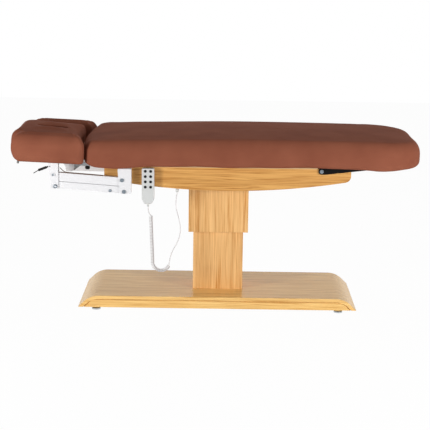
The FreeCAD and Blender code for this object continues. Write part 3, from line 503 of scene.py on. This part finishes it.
@dataclass
class Pad:
    """Upholstered pad: rings between an outer outline and a middle line or hole, then inflated as cloth."""

    name: str
    body: str
    replaces: tuple[str, ...]
    thickness: float
    edge: float
    crown: float
    step: float
    shoulder: float
    heel: float
    fill: float = 0.75
    swell: float = 0.004
    top_span: float = 0.3
    round_steps: int = 9
    nose_middle_share: float = 0.45
    nose_height_share: float = 0.6
    pressure: float = 4.0
    stiffness: float = 40.0
    last_frame: int = 12

    def outline(self) -> np.ndarray:
        """Outer outline from above, in the pad's own frame."""
        raise NotImplementedError

    def inner(self, outer: np.ndarray) -> np.ndarray:
        """For each outline point, where its ring lines end: the nearest point of the pad's middle line."""
        low, high = outer.min(axis=0), outer.max(axis=0)
        reach = (high[1] - low[1]) / 2
        x = np.clip(outer[:, 0], low[0] + reach, high[0] - reach)
        return np.stack([x, np.full_like(x, (low[1] + high[1]) / 2)], axis=-1)

    def placed(self, points: np.ndarray) -> np.ndarray:
        """Pad points in the row frame."""
        return points

    def profile(self) -> tuple[np.ndarray, np.ndarray, np.ndarray]:
        """Half section from the middle of the underside round the edge to the middle of the top.

        The bottom round is a quarter circle of the heel and the top round a quarter ellipse, the edge wide
        and the shoulder high; the top rises by the crown as a parabola of the share inwards.

        Returns:
            Inset from the outline in metres, share of the rest of the way inwards, and height.
        """
        quarter = np.linspace(0, math.pi / 2, self.round_steps)
        shares = np.linspace(0, 1, int(self.top_span / self.step))
        wall_top = self.thickness - self.shoulder - self.crown
        side = np.linspace(self.heel, wall_top, self.round_steps)[1:-1]
        under, over = np.full(len(shares), self.heel), np.full(len(shares) - 1, self.edge)
        inset = [under, self.heel * (1 - np.sin(quarter[1:])), np.zeros(len(side)),
                 self.edge * (1 - np.cos(quarter)), over]
        share = [shares[::-1], np.zeros(2 * len(quarter) - 1 + len(side)), shares[1:]]
        height = [np.zeros(len(shares)), self.heel * (1 - np.cos(quarter[1:])), side,
                  self.thickness - self.crown - self.shoulder * (1 - np.sin(quarter)),
                  self.thickness - self.crown * (1 - shares[1:]) ** 2]
        return np.concatenate(inset), np.concatenate(share), np.concatenate(height)

    def rows(self) -> tuple[np.ndarray, bool]:
        """All rings of the pad as rows x columns x 3, and whether the last row joins the first."""
        outer = self.outline()
        inner = self.inner(outer)
        inset, share, height = self.profile()
        gap = np.linalg.norm(outer - inner, axis=1)
        start = np.clip(inset[:, None] / gap[None, :], 0, 1)
        way = start + (1 - start) * share[:, None]
        flat = outer[None] * (1 - way[..., None]) + inner[None] * way[..., None]
        level = np.broadcast_to(height[:, None], way.shape)
        return np.concatenate([flat, level[..., None]], axis=-1), False

    def shaped(self, points: np.ndarray) -> np.ndarray:
        """Last shaping of the rings in the pad's own frame."""
        return points

    def rounded_end(self, points: np.ndarray, end: float, reach: float,
                    depths: tuple[float, float]) -> np.ndarray:
        """Rounds one end to a nose: within the reach, points draw in by a half ellipse above and one below.

        Args:
            points: Rings in the pad's own frame.
            end: Place of the end along the pad; a negative one draws in the other way.
            reach: Length over which the drawing in fades.
            depths: Half axes along the pad of the lower and the upper half ellipse.

        Returns:
            The moved rings.
        """
        rise = np.clip(points[:, 2] / self.thickness, 0, 1)
        off_middle = (rise - self.nose_middle_share) / self.nose_height_share
        depth = np.where(off_middle < 0, depths[0], depths[1])
        draw = depth * (1 - np.sqrt(np.clip(1 - off_middle ** 2, 0, 1)))
        near = np.clip(1 - np.abs(points[:, 0] - end) / reach, 0, 1)
        moved = points.copy()
        moved[:, 0] -= math.copysign(1.0, end) * draw * near
        return moved

    def build(self, material: Material) -> Piece:
        """Makes the pad, inflates it and hands it to the frame.

        Args:
            material: The cover.

        Returns:
            The padded piece.
        """
        rings, closed = self.rows()
        count, columns = rings.shape[:2]
        points = self.placed(self.shaped(rings.reshape(-1, 3)))
        piece = new_mesh(self.name, points, grid_faces(count, columns, closed), material)
        weld(piece)
        self.inflate(piece)
        smooth = piece.modifiers.new("smooth", "SUBSURF")
        smooth.levels = 1
        smooth.render_levels = 1
        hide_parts(*self.replaces)
        self.carry(piece)
        return piece

    def carry(self, piece: Piece) -> None:
        """Lets the pad ride on its body."""
        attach(piece, self.body)

    def inflate(self, piece: Piece) -> None:
        """Lets the cover swell as cloth under pressure, and keeps the outward move within the swell."""
        rest = np.empty(len(piece.data.vertices) * 3)
        piece.data.vertices.foreach_get("co", rest)
        cloth = piece.modifiers.new("cover", "CLOTH")
        cloth.settings.use_pressure = True
        cloth.settings.uniform_pressure_force = self.pressure
        cloth.settings.effector_weights.gravity = 0.0
        cloth.settings.tension_stiffness = self.stiffness
        cloth.settings.compression_stiffness = self.stiffness
        cloth.point_cache.frame_start = 1
        cloth.point_cache.frame_end = self.last_frame
        for number in range(1, self.last_frame + 1):
            bpy.context.scene.frame_set(number)
        puffed = piece.evaluated_get(bpy.context.evaluated_depsgraph_get()).data
        moved = np.empty_like(rest)
        puffed.vertices.foreach_get("co", moved)
        move = (moved - rest).reshape(-1, 3)
        size = np.linalg.norm(move, axis=1, keepdims=True)
        move *= np.minimum(1.0, self.swell / np.maximum(size, 1e-9))
        move[:, 2] = np.clip(move[:, 2], 0.0, self.swell / 2)
        piece.modifiers.remove(cloth)
        piece.data.vertices.foreach_set("co", (rest.reshape(-1, 3) + move).ravel())
        piece.data.update()
        bpy.context.scene.frame_set(1)


@dataclass
class Mattress(Pad):
    """Long mattress in one cover, built straight."""

    head_x: float = -0.694
    foot_x: float = 1.082
    half_width: float = 0.385
    bottom: float = 0.798
    corner: float = 0.06
    foot_corner: float = 0.266
    fullness: float = 2.5
    bow: float = 0.037
    end_drop: float = 0.0104
    end_reach: float = 0.3
    crest: float = 0.006
    crest_x: float = 0.16
    crest_to_head: float = 0.75
    crest_to_foot: float = 1.3
    hem_height: float = 0.05
    hem_start: float = 0.06
    hem_fade: float = 0.05
    ripple: float = 0.0025
    ripple_mean: float = 1.6
    ripple_long: float = 9.0
    ripple_short: float = 23.0
    ripple_turn: float = 0.6
    ripple_short_share: float = 0.6
    head_hem: float = 0.009
    head_hem_x: float = -0.1
    head_hem_fade: float = 0.3
    bracket_hem: float = 0.007
    bracket_x: float = -0.5
    bracket_spread: float = 0.1
    wrap: float = 0.011
    wrap_reach: float = 0.44
    wrap_fade: float = 0.2
    bend_start: Point = (0.507, 0.0, 0.87)
    bend_end: Point = (0.607, 0.0, 0.87)

    def outline(self) -> np.ndarray:
        """Outline with a bowed head end and a full round foot end.

        The head end bows by a parabola of the distance from the middle. Each foot corner is an arc pushed out
        to a superellipse: its points are divided by the norm of their direction at the power of the fullness.

        Returns:
            Points as an array of (x, y).
        """
        left, side, round_end = self.head_x + self.bow, self.half_width, self.foot_corner
        corners = [(left, -side), (self.foot_x, -side), (self.foot_x, side), (left, side)]
        points = rounded_outline(corners, [self.corner, round_end, round_end, self.corner], self.step)
        near = np.clip((left + self.corner - points[:, 0]) / self.corner, 0, 1)
        middle = np.stack([np.full(len(points), self.foot_x - round_end),
                           np.sign(points[:, 1]) * (side - round_end)], axis=-1)
        arm = points - middle
        in_corner = (arm[:, 0] > 0) & (np.abs(points[:, 1]) > side - round_end)
        way = np.abs(arm) / round_end
        norm = np.sum(way ** self.fullness, axis=1) ** (1 / self.fullness)
        pushed = middle + arm / np.where(in_corner, norm, 1.0)[:, None]
        points = np.where(in_corner[:, None], pushed, points)
        points[:, 0] -= self.bow * near * (1 - (points[:, 1] / side) ** 2)
        return points

    def placed(self, points: np.ndarray) -> np.ndarray:
        """Rings lifted onto the board."""
        return points + np.array([0.0, 0.0, self.bottom])

    def shaped(self, points: np.ndarray) -> np.ndarray:
        """Lets the top fall towards both ends and the hem hang a little unevenly.

        The top follows a slow cosine with its crest near the middle, less a parabola of the depth into each
        end zone, both scaled by the height; the hem sinks by two slow sines along the length, and further
        where it wraps the board at the foot end, towards the head, and in a bell above the linkage brackets.

        Args:
            points: Rings in the mattress's own frame.

        Returns:
            The moved rings.
        """
        x, out, height = points[:, 0], np.abs(points[:, 1]), points[:, 2]
        to_end = np.minimum(x - self.head_x, self.foot_x - x)
        drop = self.end_drop * np.clip(1 - to_end / self.end_reach, 0, 1) ** 2
        off_crest = x - self.crest_x
        reach = np.where(off_crest < 0, self.crest_to_head, self.crest_to_foot)
        slow = np.cos(math.pi * np.clip(off_crest / reach, -1, 1))
        fall = (drop - self.crest * slow) * height / self.thickness
        low = np.clip(1 - height / self.hem_height, 0, 1)
        ripple = np.sin(x * self.ripple_long + self.ripple_turn)
        ripple = ripple + self.ripple_short_share * np.sin(x * self.ripple_short)
        at_head = np.clip((self.head_hem_x - x) / self.head_hem_fade, 0, 1)
        bell = np.exp(-((x - self.bracket_x) / self.bracket_spread) ** 2)
        hem = self.ripple * (self.ripple_mean + ripple) + self.head_hem * at_head + self.bracket_hem * bell
        side = np.clip((out - self.half_width + self.hem_start) / self.hem_fade, 0, 1)
        at_foot = np.clip((x - self.foot_x + self.wrap_reach) / self.wrap_fade, 0, 1)
        from_arc = np.hypot(np.maximum(x - self.foot_x + self.foot_corner, 0),
                            np.maximum(out - self.half_width + self.foot_corner, 0)) - self.foot_corner
        rim = np.clip((from_arc + self.hem_start) / self.hem_fade, 0, 1)
        moved = points.copy()
        moved[:, 2] -= fall + low * (side * hem + self.wrap * at_foot * np.maximum(side, rim))
        return moved

    def carry(self, piece: Piece) -> None:
        """Bakes the mattress's place into its mesh and leaves it unbent; the bend's start and end are not
        used.
        """
        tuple(self.bend_start)
        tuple(self.bend_end)
        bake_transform(piece)


@dataclass
class Headrest(Pad):
    """Headrest pad round an oval face hole, built level and then tilted."""

    length: float = 0.3517
    half_width: float = 0.235
    corner: float = 0.07
    nose: float = 0.03
    nose_reach: float = 0.1
    end_x: float = -0.716
    bottom: float = 0.808
    tilt: float = math.radians(4.7)
    hole_x: float = -0.158
    hole_half_x: float = 0.082
    hole_half_y: float = 0.03
    rim: float = 0.02
    wall_steps: int = 8
    roll: float = 0.009
    roll_share: float = 0.72
    roll_spread_share: float = 0.2

    def outline(self) -> np.ndarray:
        """Rounded rectangle with larger corners at the head."""
        side, small = self.half_width, self.corner / 2
        corners = [(-self.length, -side), (0.0, -side), (0.0, side), (-self.length, side)]
        return rounded_outline(corners, [self.corner, small, small, self.corner], self.step)

    def inner(self, outer: np.ndarray) -> np.ndarray:
        """Oval of the face hole, met along the direction from its middle."""
        way = outer - np.array([self.hole_x, 0.0])
        angle = np.arctan2(way[:, 1] / self.hole_half_y, way[:, 0] / self.hole_half_x)
        oval = np.stack([self.hole_half_x * np.cos(angle), self.hole_half_y * np.sin(angle)], axis=-1)
        return oval + np.array([self.hole_x, 0.0])

    def rows(self) -> tuple[np.ndarray, bool]:
        """Rings of the pad, with the wall of the hole as the rows that join its top to its underside.

        A soft roll stands up on both sides of the hole: a bell of the share inwards, times the squared sine
        of the direction from the hole's middle.

        Returns:
            Rings as rows x columns x 3, and True, because the last row joins the first.
        """
        rings, _ = super().rows()
        _, share, height = self.profile()
        bell = np.exp(-((share - self.roll_share) / self.roll_spread_share) ** 2)
        bell = np.where(height > self.thickness / 2, bell, 0.0)
        way = rings[0, :, :2] - np.array([self.hole_x, 0.0])
        beside = (way[:, 1] / np.linalg.norm(way, axis=1)) ** 2
        rings[..., 2] += self.roll * bell[:, None] * beside[None, :]
        top, low = rings[-1], rings[0]
        quarter = np.linspace(0, math.pi / 2, self.wall_steps)[1:, None, None]
        drop = np.array([0.0, 0.0, self.rim])
        rounded = top - drop * (1 - np.cos(quarter))
        wall = np.linspace(1, 0, self.wall_steps)[1:-1, None, None]
        straight = low + (rounded[-1] - low) * wall
        return np.concatenate([rings, rounded, straight]), True

    def shaped(self, points: np.ndarray) -> np.ndarray:
        """Rounds the head end to a nose."""
        return self.rounded_end(points, -self.length, self.nose_reach, (self.nose, self.nose))

    def placed(self, points: np.ndarray) -> np.ndarray:
        """Rings tilted about the headrest's end and lifted into place."""
        return tilted(points, self.tilt, self.end_x, self.bottom)


@dataclass(frozen=True)
class Linkage:
    """Where one armrest linkage stands: its side, the angle and length of its links, its bracket's pivot."""

    name: str
    side: float
    angle: float
    bracket_x: float = -0.469
    bracket_z: float = 0.716
    middle_y: float = 0.311
    length: float = 0.354

    def along(self, reach: float, rise: float) -> Point:
        """Point of the upper link by its reach from the bracket and its rise off the link's middle line."""
        c, s = math.cos(self.angle), math.sin(self.angle)
        x = self.bracket_x - reach * c + rise * s
        return (x, self.side * self.middle_y, self.bracket_z + reach * s + rise * c)

    def end(self) -> Point:
        """Pivot at which the link carries the upright of the armrest."""
        return self.along(self.length, 0.0)


LINKAGES = (Linkage("near", -1.0, math.radians(3.9)), Linkage("far", 1.0, math.radians(0.7)))


@dataclass
class Armrest(Pad):
    """Armrest pad beside the headrest; its inner end is set back round the mattress."""

    linkage: Linkage = LINKAGES[0]
    lift: float = 0.066
    outer_y: float = 0.385
    width: float = 0.14
    head_reach: float = 0.215
    foot_outer: float = 0.166
    foot_inner: float = 0.138
    corner: float = 0.036
    nose: float = 0.034
    nose_reach: float = 0.09
    chin: float = 0.085
    notch_reach: float = 0.07
    tilt: float = math.radians(2.2)

    def outline(self) -> np.ndarray:
        """Four-cornered outline, mirrored for the far side."""
        inner_y = self.outer_y - self.width
        corners = [(-self.head_reach, -self.outer_y), (self.foot_outer, -self.outer_y),
                   (self.foot_inner, -inner_y), (-self.head_reach, -inner_y)]
        radii = [self.corner, self.corner / 2, self.corner / 2, self.corner / 2]
        points = rounded_outline(corners, radii, self.step)
        return points * np.array([1.0, -self.linkage.side])

    def shaped(self, points: np.ndarray) -> np.ndarray:
        """Rounds the head end to a nose, and the upper half of the end at the mattress."""
        nosed = self.rounded_end(points, -self.head_reach, self.nose_reach, (self.chin, self.nose))
        return self.rounded_end(nosed, self.foot_outer, self.notch_reach, (0.0, self.nose))

    def placed(self, points: np.ndarray) -> np.ndarray:
        """Rings tilted about the upright and lifted into place."""
        x, _, z = self.linkage.end()
        return tilted(points, self.tilt, x, z + self.lift)


def round_curve(name: str, points: np.ndarray, diameter: float, material: Material) -> Piece:
    """Draws a round wire, rod or cord as one NURBS curve.

    Args:
        name: Object name.
        points: Control points in metres, in the row frame.
        diameter: Thickness.
        material: What it wears.

    Returns:
        The curve object.
    """
    data = bpy.data.curves.new(name, "CURVE")
    data.dimensions = "3D"
    data.bevel_depth = diameter / 2
    data.bevel_resolution = 3
    data.resolution_u = 3
    data.use_fill_caps = True
    spline = data.splines.new("NURBS")
    spline.points.add(len(points) - 1)
    spline.points.foreach_set("co", np.concatenate([points, np.ones((len(points), 1))], axis=1).ravel())
    spline.order_u = 3
    spline.use_endpoint_u = True
    data.materials.append(material)
    curve = bpy.data.objects.new(name, data)
    bpy.context.scene.collection.objects.link(curve)
    return curve


# Sides of a turned piece.
TURNED_SIDES = 24


def turned(name: str, profile: Sequence[tuple[float, float]], foot: Point, way: Point,
           material: Material) -> Piece:
    """Turned piece: the profile swept round an axis.

    Args:
        name: Object name.
        profile: Pairs of radius and height along the axis.
        foot: Where the axis starts.
        way: Direction of the axis.
        material: What it wears.

    Returns:
        The piece.
    """
    radius, height = np.array(profile).T
    turn = np.linspace(0, 2 * math.pi, TURNED_SIDES, endpoint=False)
    ring = np.stack([np.cos(turn), np.sin(turn)], axis=-1)
    flat = radius[:, None, None] * ring[None]
    level = np.broadcast_to(height[:, None, None], (len(radius), TURNED_SIDES, 1))
    points = np.concatenate([flat, level], axis=-1).reshape(-1, 3)
    aim = np.array(Vector((0, 0, 1)).rotation_difference(Vector(way)).to_matrix())
    faces = grid_faces(len(radius), TURNED_SIDES, False)
    piece = new_mesh(name, points @ aim.T + np.array(foot), faces, material)
    weld(piece)
    return piece


@dataclass
class ArmTrim:
    """Small parts of one armrest linkage: bolt heads, the link's screw, the release rod and the pad's peg."""

    linkage: Linkage
    lower_step: tuple[float, float] = (0.01, -0.06)
    plate_y: float = 0.332
    link_y: float = 0.3265
    upper_radius: float = 0.006696
    lower_radius: float = 0.0108
    head_height: float = 0.0062
    screw_along: tuple[float, float] = (0.068, -0.061)
    screw_radius: float = 0.0075
    screw_height: float = 0.0045
    rod_diameter: float = 0.004
    rod_along: tuple[tuple[float, float], ...] = (
        (0.1, 0.0138), (0.16, 0.0142), (0.22, 0.0142), (0.28, 0.0142), (0.296, 0.0148), (0.308, 0.022),
        (0.324, 0.036))
    peg_step: tuple[float, float] = (-0.174, 0.077)
    peg_y: float = 0.35
    peg_lean: tuple[float, float] = (0.25, 0.1)
    peg_profile: tuple[tuple[float, float], ...] = (
        (0.0, -0.018), (0.0048, -0.017), (0.0058, -0.014), (0.0058, 0.006), (0.0, 0.006))

    def head(self, label: str, place: Point, radius: float, height: float, material: Material) -> Piece:
        """Domed bolt head with a sunk socket, standing out from a face.

        Args:
            label: Last part of the name.
            place: Middle of the foot.
            radius: Outer radius.
            height: Height of the dome.
            material: The plating.

        Returns:
            The head.
        """
        shares = ((0.0, 0.35), (0.42, 0.35), (0.46, 0.95), (0.8, 1.0), (0.96, 0.72), (1.0, 0.0), (0.0, 0.0))
        profile = [(across * radius, up * height) for across, up in shares]
        return turned(f"{self.linkage.name}_{label}", profile, place, (0.0, self.linkage.side, 0.0), material)

    def bolts(self, material: Material) -> Iterator[Piece]:
        """Heads of the two pivot bolts on the upright, the small one above the large one.

        Args:
            material: The plating.

        Yields:
            The two heads.
        """
        x, _, z = self.linkage.end()
        steps = (((0.0, 0.0), self.upper_radius), (self.lower_step, self.lower_radius))
        for number, ((dx, dz), radius) in enumerate(steps, start=1):
            place = (x + dx, self.linkage.side * self.plate_y, z + dz)
            yield self.head(f"bolt_{number}", place, radius, self.head_height, material)

    def screw(self, material: Material) -> Piece:
        """Head of the screw in the lower link."""
        x, _, z = self.linkage.along(*self.screw_along)
        place = (x + self.lower_step[0], self.linkage.side * self.link_y, z)
        return self.head("link_screw", place, self.screw_radius, self.screw_height, material)

    def rod(self, material: Material) -> Piece:
        """Release rod on top of the upper link, with its end bent up to the lever; its brown paints the shade
        and the cushion's reflection along the link's top.
        """
        points = np.array([self.linkage.along(*place) for place in self.rod_along])
        return round_curve(f"{self.linkage.name}_release_rod", points, self.rod_diameter, material)

    def peg(self, material: Material) -> Piece:
        """Peg under the head end of the pad; its lower end leans to the head and outwards.

        Args:
            material: The plastic.

        Returns:
            The peg.
        """
        x, _, z = self.linkage.end()
        side = self.linkage.side
        foot = (x + self.peg_step[0], side * self.peg_y, z + self.peg_step[1])
        way = (self.peg_lean[0], -self.peg_lean[1] * side, 1.0)
        return turned(f"{self.linkage.name}_peg", self.peg_profile, foot, way, material)

    def build(self, wardrobe: Wardrobe) -> list[Piece]:
        """Makes the trim of one side and lets each part ride on what carries it.

        Args:
            wardrobe: The materials.

        Returns:
            The pieces.
        """
        pieces = [(bolt, "zinc_steel", "armrest") for bolt in self.bolts(wardrobe.zinc)]
        pieces.append((self.screw(wardrobe.zinc), "zinc_steel", "lower_link"))
        pieces.append((self.rod(wardrobe.shade_brown_rod), "zinc_steel", "upper_link"))
        pieces.append((self.peg(wardrobe.peg_abs), "grey_plastic", "armrest"))
        for piece, slot, body in pieces:
            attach(piece, f"{self.linkage.name}_{body}")
        return [piece for piece, _, _ in pieces]


@dataclass
class BasePanel:
    """Bent top panel of the base: a sheet with rounded shoulders, a hair in front of the core board."""

    middle_x: float = 0.028
    length: float = 1.473
    half_depth: float = 0.2756
    low: float = 0.021
    height: float = 0.062
    slope_run: float = 0.064
    bend: float = 0.115
    sheet: float = 0.022
    groove: float = 0.004
    groove_depth: float = 0.008
    easing: float = 0.0015
    sharp: float = math.radians(30.0)

    def line(self, inset: float) -> np.ndarray:
        """Outline from the head tip over the top to the foot tip.

        Each half is a slope and a flat, joined by an arc of the bend's radius less the inset. The inset moves
        the whole outline inwards, square to itself.

        Args:
            inset: Distance from the outer face.

        Returns:
            Points as an array of (x, z).
        """
        slope = math.atan2(self.height, self.slope_run)
        tip = self.length / 2 - inset / math.sin(slope)
        shoulder = tip - (self.height - inset) / math.tan(slope)
        radius = self.bend - inset
        start = -shoulder + radius * math.tan(slope / 2)
        turn = np.linspace(slope, 0, ARC_STEPS)
        high = self.low + self.height - inset
        arc = np.stack([start - radius * np.sin(turn), high - radius * (1 - np.cos(turn))], axis=-1)
        half = np.concatenate([[(-tip, self.low)], arc])
        mirrored = half[::-1] * np.array([-1.0, 1.0])
        return np.concatenate([half, mirrored]) + np.array([self.middle_x, 0.0])

    def build(self, material: Material) -> Piece:
        """Sweeps the section across the base; its inner front edge is cut back to a groove beside the core.

        Args:
            material: The veneer.

        Returns:
            The panel.
        """
        front = -self.half_depth
        cut = self.sheet - self.groove
        stations = [(front, self.easing, cut), (front + self.easing, 0.0, cut),
                    (front + self.groove_depth, 0.0, cut), (front + self.groove_depth, 0.0, self.sheet)]
        stations += [(-y, outer, inner) for y, outer, inner in reversed(stations)]
        flat = np.stack([np.concatenate([self.line(outer), self.line(inner)[::-1]])
                         for _, outer, inner in stations])
        across = np.broadcast_to(np.array([y for y, _, _ in stations])[:, None], flat.shape[:2])
        points = np.stack([flat[..., 0], across, flat[..., 1]], axis=-1)
        count, columns = points.shape[:2]
        first = np.arange(columns // 2 - 1)
        cap = np.stack([first, first + 1, columns - 2 - first, columns - 1 - first], axis=-1)
        faces = np.concatenate([grid_faces(count, columns, False), cap, cap[:, ::-1] + (count - 1) * columns])
        panel = new_mesh("base_panel", points, faces.tolist(), material)
        weld(panel)
        panel.data.set_sharp_from_angle(angle=self.sharp)
        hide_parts("base_top_panel")
        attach(panel, "base")
        return panel


@dataclass
class HandsetCord:
    """Curly cord from the handset to the control box, as one spline."""

    diameter: float = 0.0048
    exit: Point = (-0.336, -0.311, 0.576)
    length: float = 2.684
    top: Point = (-0.322, -0.311, 0.528)
    low: Point = (-0.312, -0.311, 0.278)
    bend_radius: float = 0.044
    bend_turn: float = math.radians(158.0)
    coil_radius: float = 0.0076
    turns: int = 46
    per_turn: int = 16
    joined: int = 4
    upper: tuple[Point, ...] = (
        (-0.336, -0.311, 0.576), (-0.3358, -0.3113, 0.5695), (-0.3349, -0.3132, 0.562),
        (-0.3336, -0.3156, 0.5545), (-0.3326, -0.317, 0.5448))
    lower: tuple[Point, ...] = (
        (-0.22, -0.311, 0.312), (-0.205, -0.31, 0.35), (-0.183, -0.308, 0.386), (-0.169, -0.305, 0.43),
        (-0.168, -0.301, 0.476), (-0.18, -0.295, 0.522), (-0.193, -0.287, 0.567), (-0.194, -0.28, 0.612),
        (-0.187, -0.275, 0.647))

    def coil(self) -> np.ndarray:
        """Helix round a line that hangs straight and then turns up through an arc, wound evenly along it."""
        top, low = np.array(self.top), np.array(self.low)
        straight = float(np.linalg.norm(low - top))
        down = (low - top) / straight
        side = np.array([-down[2], 0.0, down[0]])
        share = np.linspace(0, 1, self.turns * self.per_turn + 1)[:, None]
        along = share * (straight + self.bend_radius * self.bend_turn)
        angle = np.maximum(along - straight, 0) / self.bend_radius
        arc = self.bend_radius * (side * (1 - np.cos(angle)) + down * np.sin(angle))
        axis = top + down * np.minimum(along, straight) + arc
        way = down * np.cos(angle) + side * np.sin(angle)
        out = np.stack([-way[:, 2], np.zeros(len(way)), way[:, 0]], axis=-1)
        turn = 2 * math.pi * self.turns * share
        return axis + self.coil_radius * (np.array([0, 1, 0]) * np.sin(turn) - out * np.cos(turn))

    def build(self, material: Material) -> Piece:
        """Draws the cord as a round curve: the coil leaves out a few points where it joins the ends.

        Args:
            material: The jacket.

        Returns:
            The cord.
        """
        points = np.concatenate([self.upper, self.coil()[self.joined:-self.joined], self.lower])
        cord = round_curve("handset_cord", points, self.diameter, material)
        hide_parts("cord_upper", "cord_coil", "cord_lower")
        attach(cord, "frame")
        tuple(self.exit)
        return cord


@dataclass(frozen=True)
class SoftBox:
    """Square soft lamp: its place and aim in metres, its side and its power in watts."""

    name: str
    place: Point
    aim: Point
    size: float
    power: float

    def build(self) -> None:
        """Hangs the lamp, turned to its aim."""
        light = bpy.data.lights.new(self.name, "AREA")
        light.size = self.size
        light.energy = self.power
        lamp = bpy.data.objects.new(self.name, light)
        lamp.location = self.place
        lamp.rotation_euler = (Vector(self.aim) - Vector(self.place)).to_track_quat("-Z", "Y").to_euler()
        bpy.context.scene.collection.objects.link(lamp)


@dataclass
class Studio:
    """White floor and backdrop, soft lamps and the camera at the photo's angle."""

    lamps: tuple[SoftBox, ...] = (
        SoftBox("left", (-2.9, -2.5, 1.0), (-0.1, 0.0, 0.5), 0.8, 80.0),
        SoftBox("right", (2.9, -2.5, 1.0), (0.1, 0.0, 0.5), 0.8, 80.0),
        SoftBox("top", (0.0, 1.4, 3.4), (0.0, 0.0, 0.8), 2.6, 24.0))
    floor_half: float = 9.0
    floor_colour: str = "#F2F2F2"
    floor_rough: float = 0.9
    floor_glow_share: float = 0.97
    dome_strength: float = 0.2
    backdrop_strength: float = 1.0
    camera_place: Point = (0.0412, -6.6364, 1.9029)
    pitch: float = math.radians(12.192)
    yaw: float = math.radians(0.276)
    roll: float = math.radians(0.755)
    lens: float = 104.65
    sensor: float = 36.0

    def build(self) -> None:
        """Sets floor, world, lamps and camera."""
        bpy.context.scene.view_settings.view_transform = "Standard"
        self.floor()
        self.world()
        for lamp in self.lamps:
            lamp.build()
        self.camera()

    def floor(self) -> None:
        """Pale floor that the camera sees near white, with the object's soft shadow kept."""
        corners = self.floor_half * np.array([(-1, -1, 0), (1, -1, 0), (1, 1, 0), (-1, 1, 0)], float)
        material = bpy.data.materials.new("white studio floor")
        tree = Nodes(material)
        surface = tree.nodes["Principled BSDF"]
        tree.fill(surface, {"Base Color": linear(self.floor_colour), "Roughness": self.floor_rough})
        glow = tree.add("ShaderNodeEmission", {"Strength": self.backdrop_strength})
        inputs = {0: tree.seen(), 1: self.floor_glow_share}
        share = tree.add("ShaderNodeMath", inputs, operation="MULTIPLY").outputs[0]
        mix = tree.add("ShaderNodeMixShader", {"Fac": share, 1: surface.outputs[0], 2: glow.outputs[0]})
        tree.fill(tree.nodes["Material Output"], {"Surface": mix.outputs[0]})
        new_mesh("studio_floor", corners, [(0, 1, 2, 3)], material)

    def world(self) -> None:
        """White for the camera, a plain grey dome for the light."""
        world = bpy.data.worlds.new("studio")
        bpy.context.scene.world = world
        tree = Nodes(world)
        inputs = {"Value": tree.seen(), "To Min": self.dome_strength, "To Max": self.backdrop_strength}
        strength = tree.add("ShaderNodeMapRange", inputs).outputs[0]
        tree.fill(tree.nodes["Background"], {"Color": (1.0, 1.0, 1.0, 1.0), "Strength": strength})

    def camera(self) -> None:
        """Long lens on the middle of the near side, slightly above the top and a little rolled."""
        data = bpy.data.cameras.new("camera")
        data.lens = self.lens
        data.sensor_width = self.sensor
        camera = bpy.data.objects.new("camera", data)
        turn = Matrix.Rotation(self.yaw, 4, "Z") @ Matrix.Rotation(math.pi / 2 - self.pitch, 4, "X")
        turn = turn @ Matrix.Rotation(self.roll, 4, "Z")
        camera.matrix_world = Matrix.Translation(self.camera_place) @ turn
        bpy.context.scene.collection.objects.link(camera)
        bpy.context.scene.camera = camera


def pads() -> list[Pad]:
    """The four pads, with the CAD nodes that they stand for."""
    mattress = Mattress("mattress", "frame", ("mattress_main", "mattress_bend", "mattress_leg"),
                        thickness=0.142, edge=0.05, crown=0.01, step=0.014, shoulder=0.072, heel=0.026)
    headrest = Headrest("headrest_cushion", "headrest", ("headrest_pad",),
                        thickness=0.122, edge=0.036, crown=0.006, step=0.007, shoulder=0.036, heel=0.02)
    armrests = [Armrest(f"{linkage.name}_armrest_cushion", f"{linkage.name}_armrest",
                        (f"{linkage.name}_armrest_pad",), thickness=0.15, edge=0.042, crown=0.008, step=0.007,
                        shoulder=0.052, heel=0.02, linkage=linkage) for linkage in LINKAGES]
    return [mattress, headrest, *armrests]


def main() -> None:
    """Builds and dresses every piece, then the studio, and logs the names of what it built."""
    logging.basicConfig(level=logging.INFO, format="%(message)s")
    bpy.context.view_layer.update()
    wardrobe = Wardrobe()
    wardrobe.dress()
    for pad in pads():
        log.info("pad %s", pad.build(wardrobe.leatherette).name)
    log.info("base %s", BasePanel().build(wardrobe.lit_ash_x).name)
    log.info("cord %s", HandsetCord().build(wardrobe.cord_pvc).name)
    for linkage in LINKAGES:
        log.info("trim %s", ", ".join(piece.name for piece in ArmTrim(linkage).build(wardrobe)))
    Studio().build()


if __name__ == "__main__":
    main()
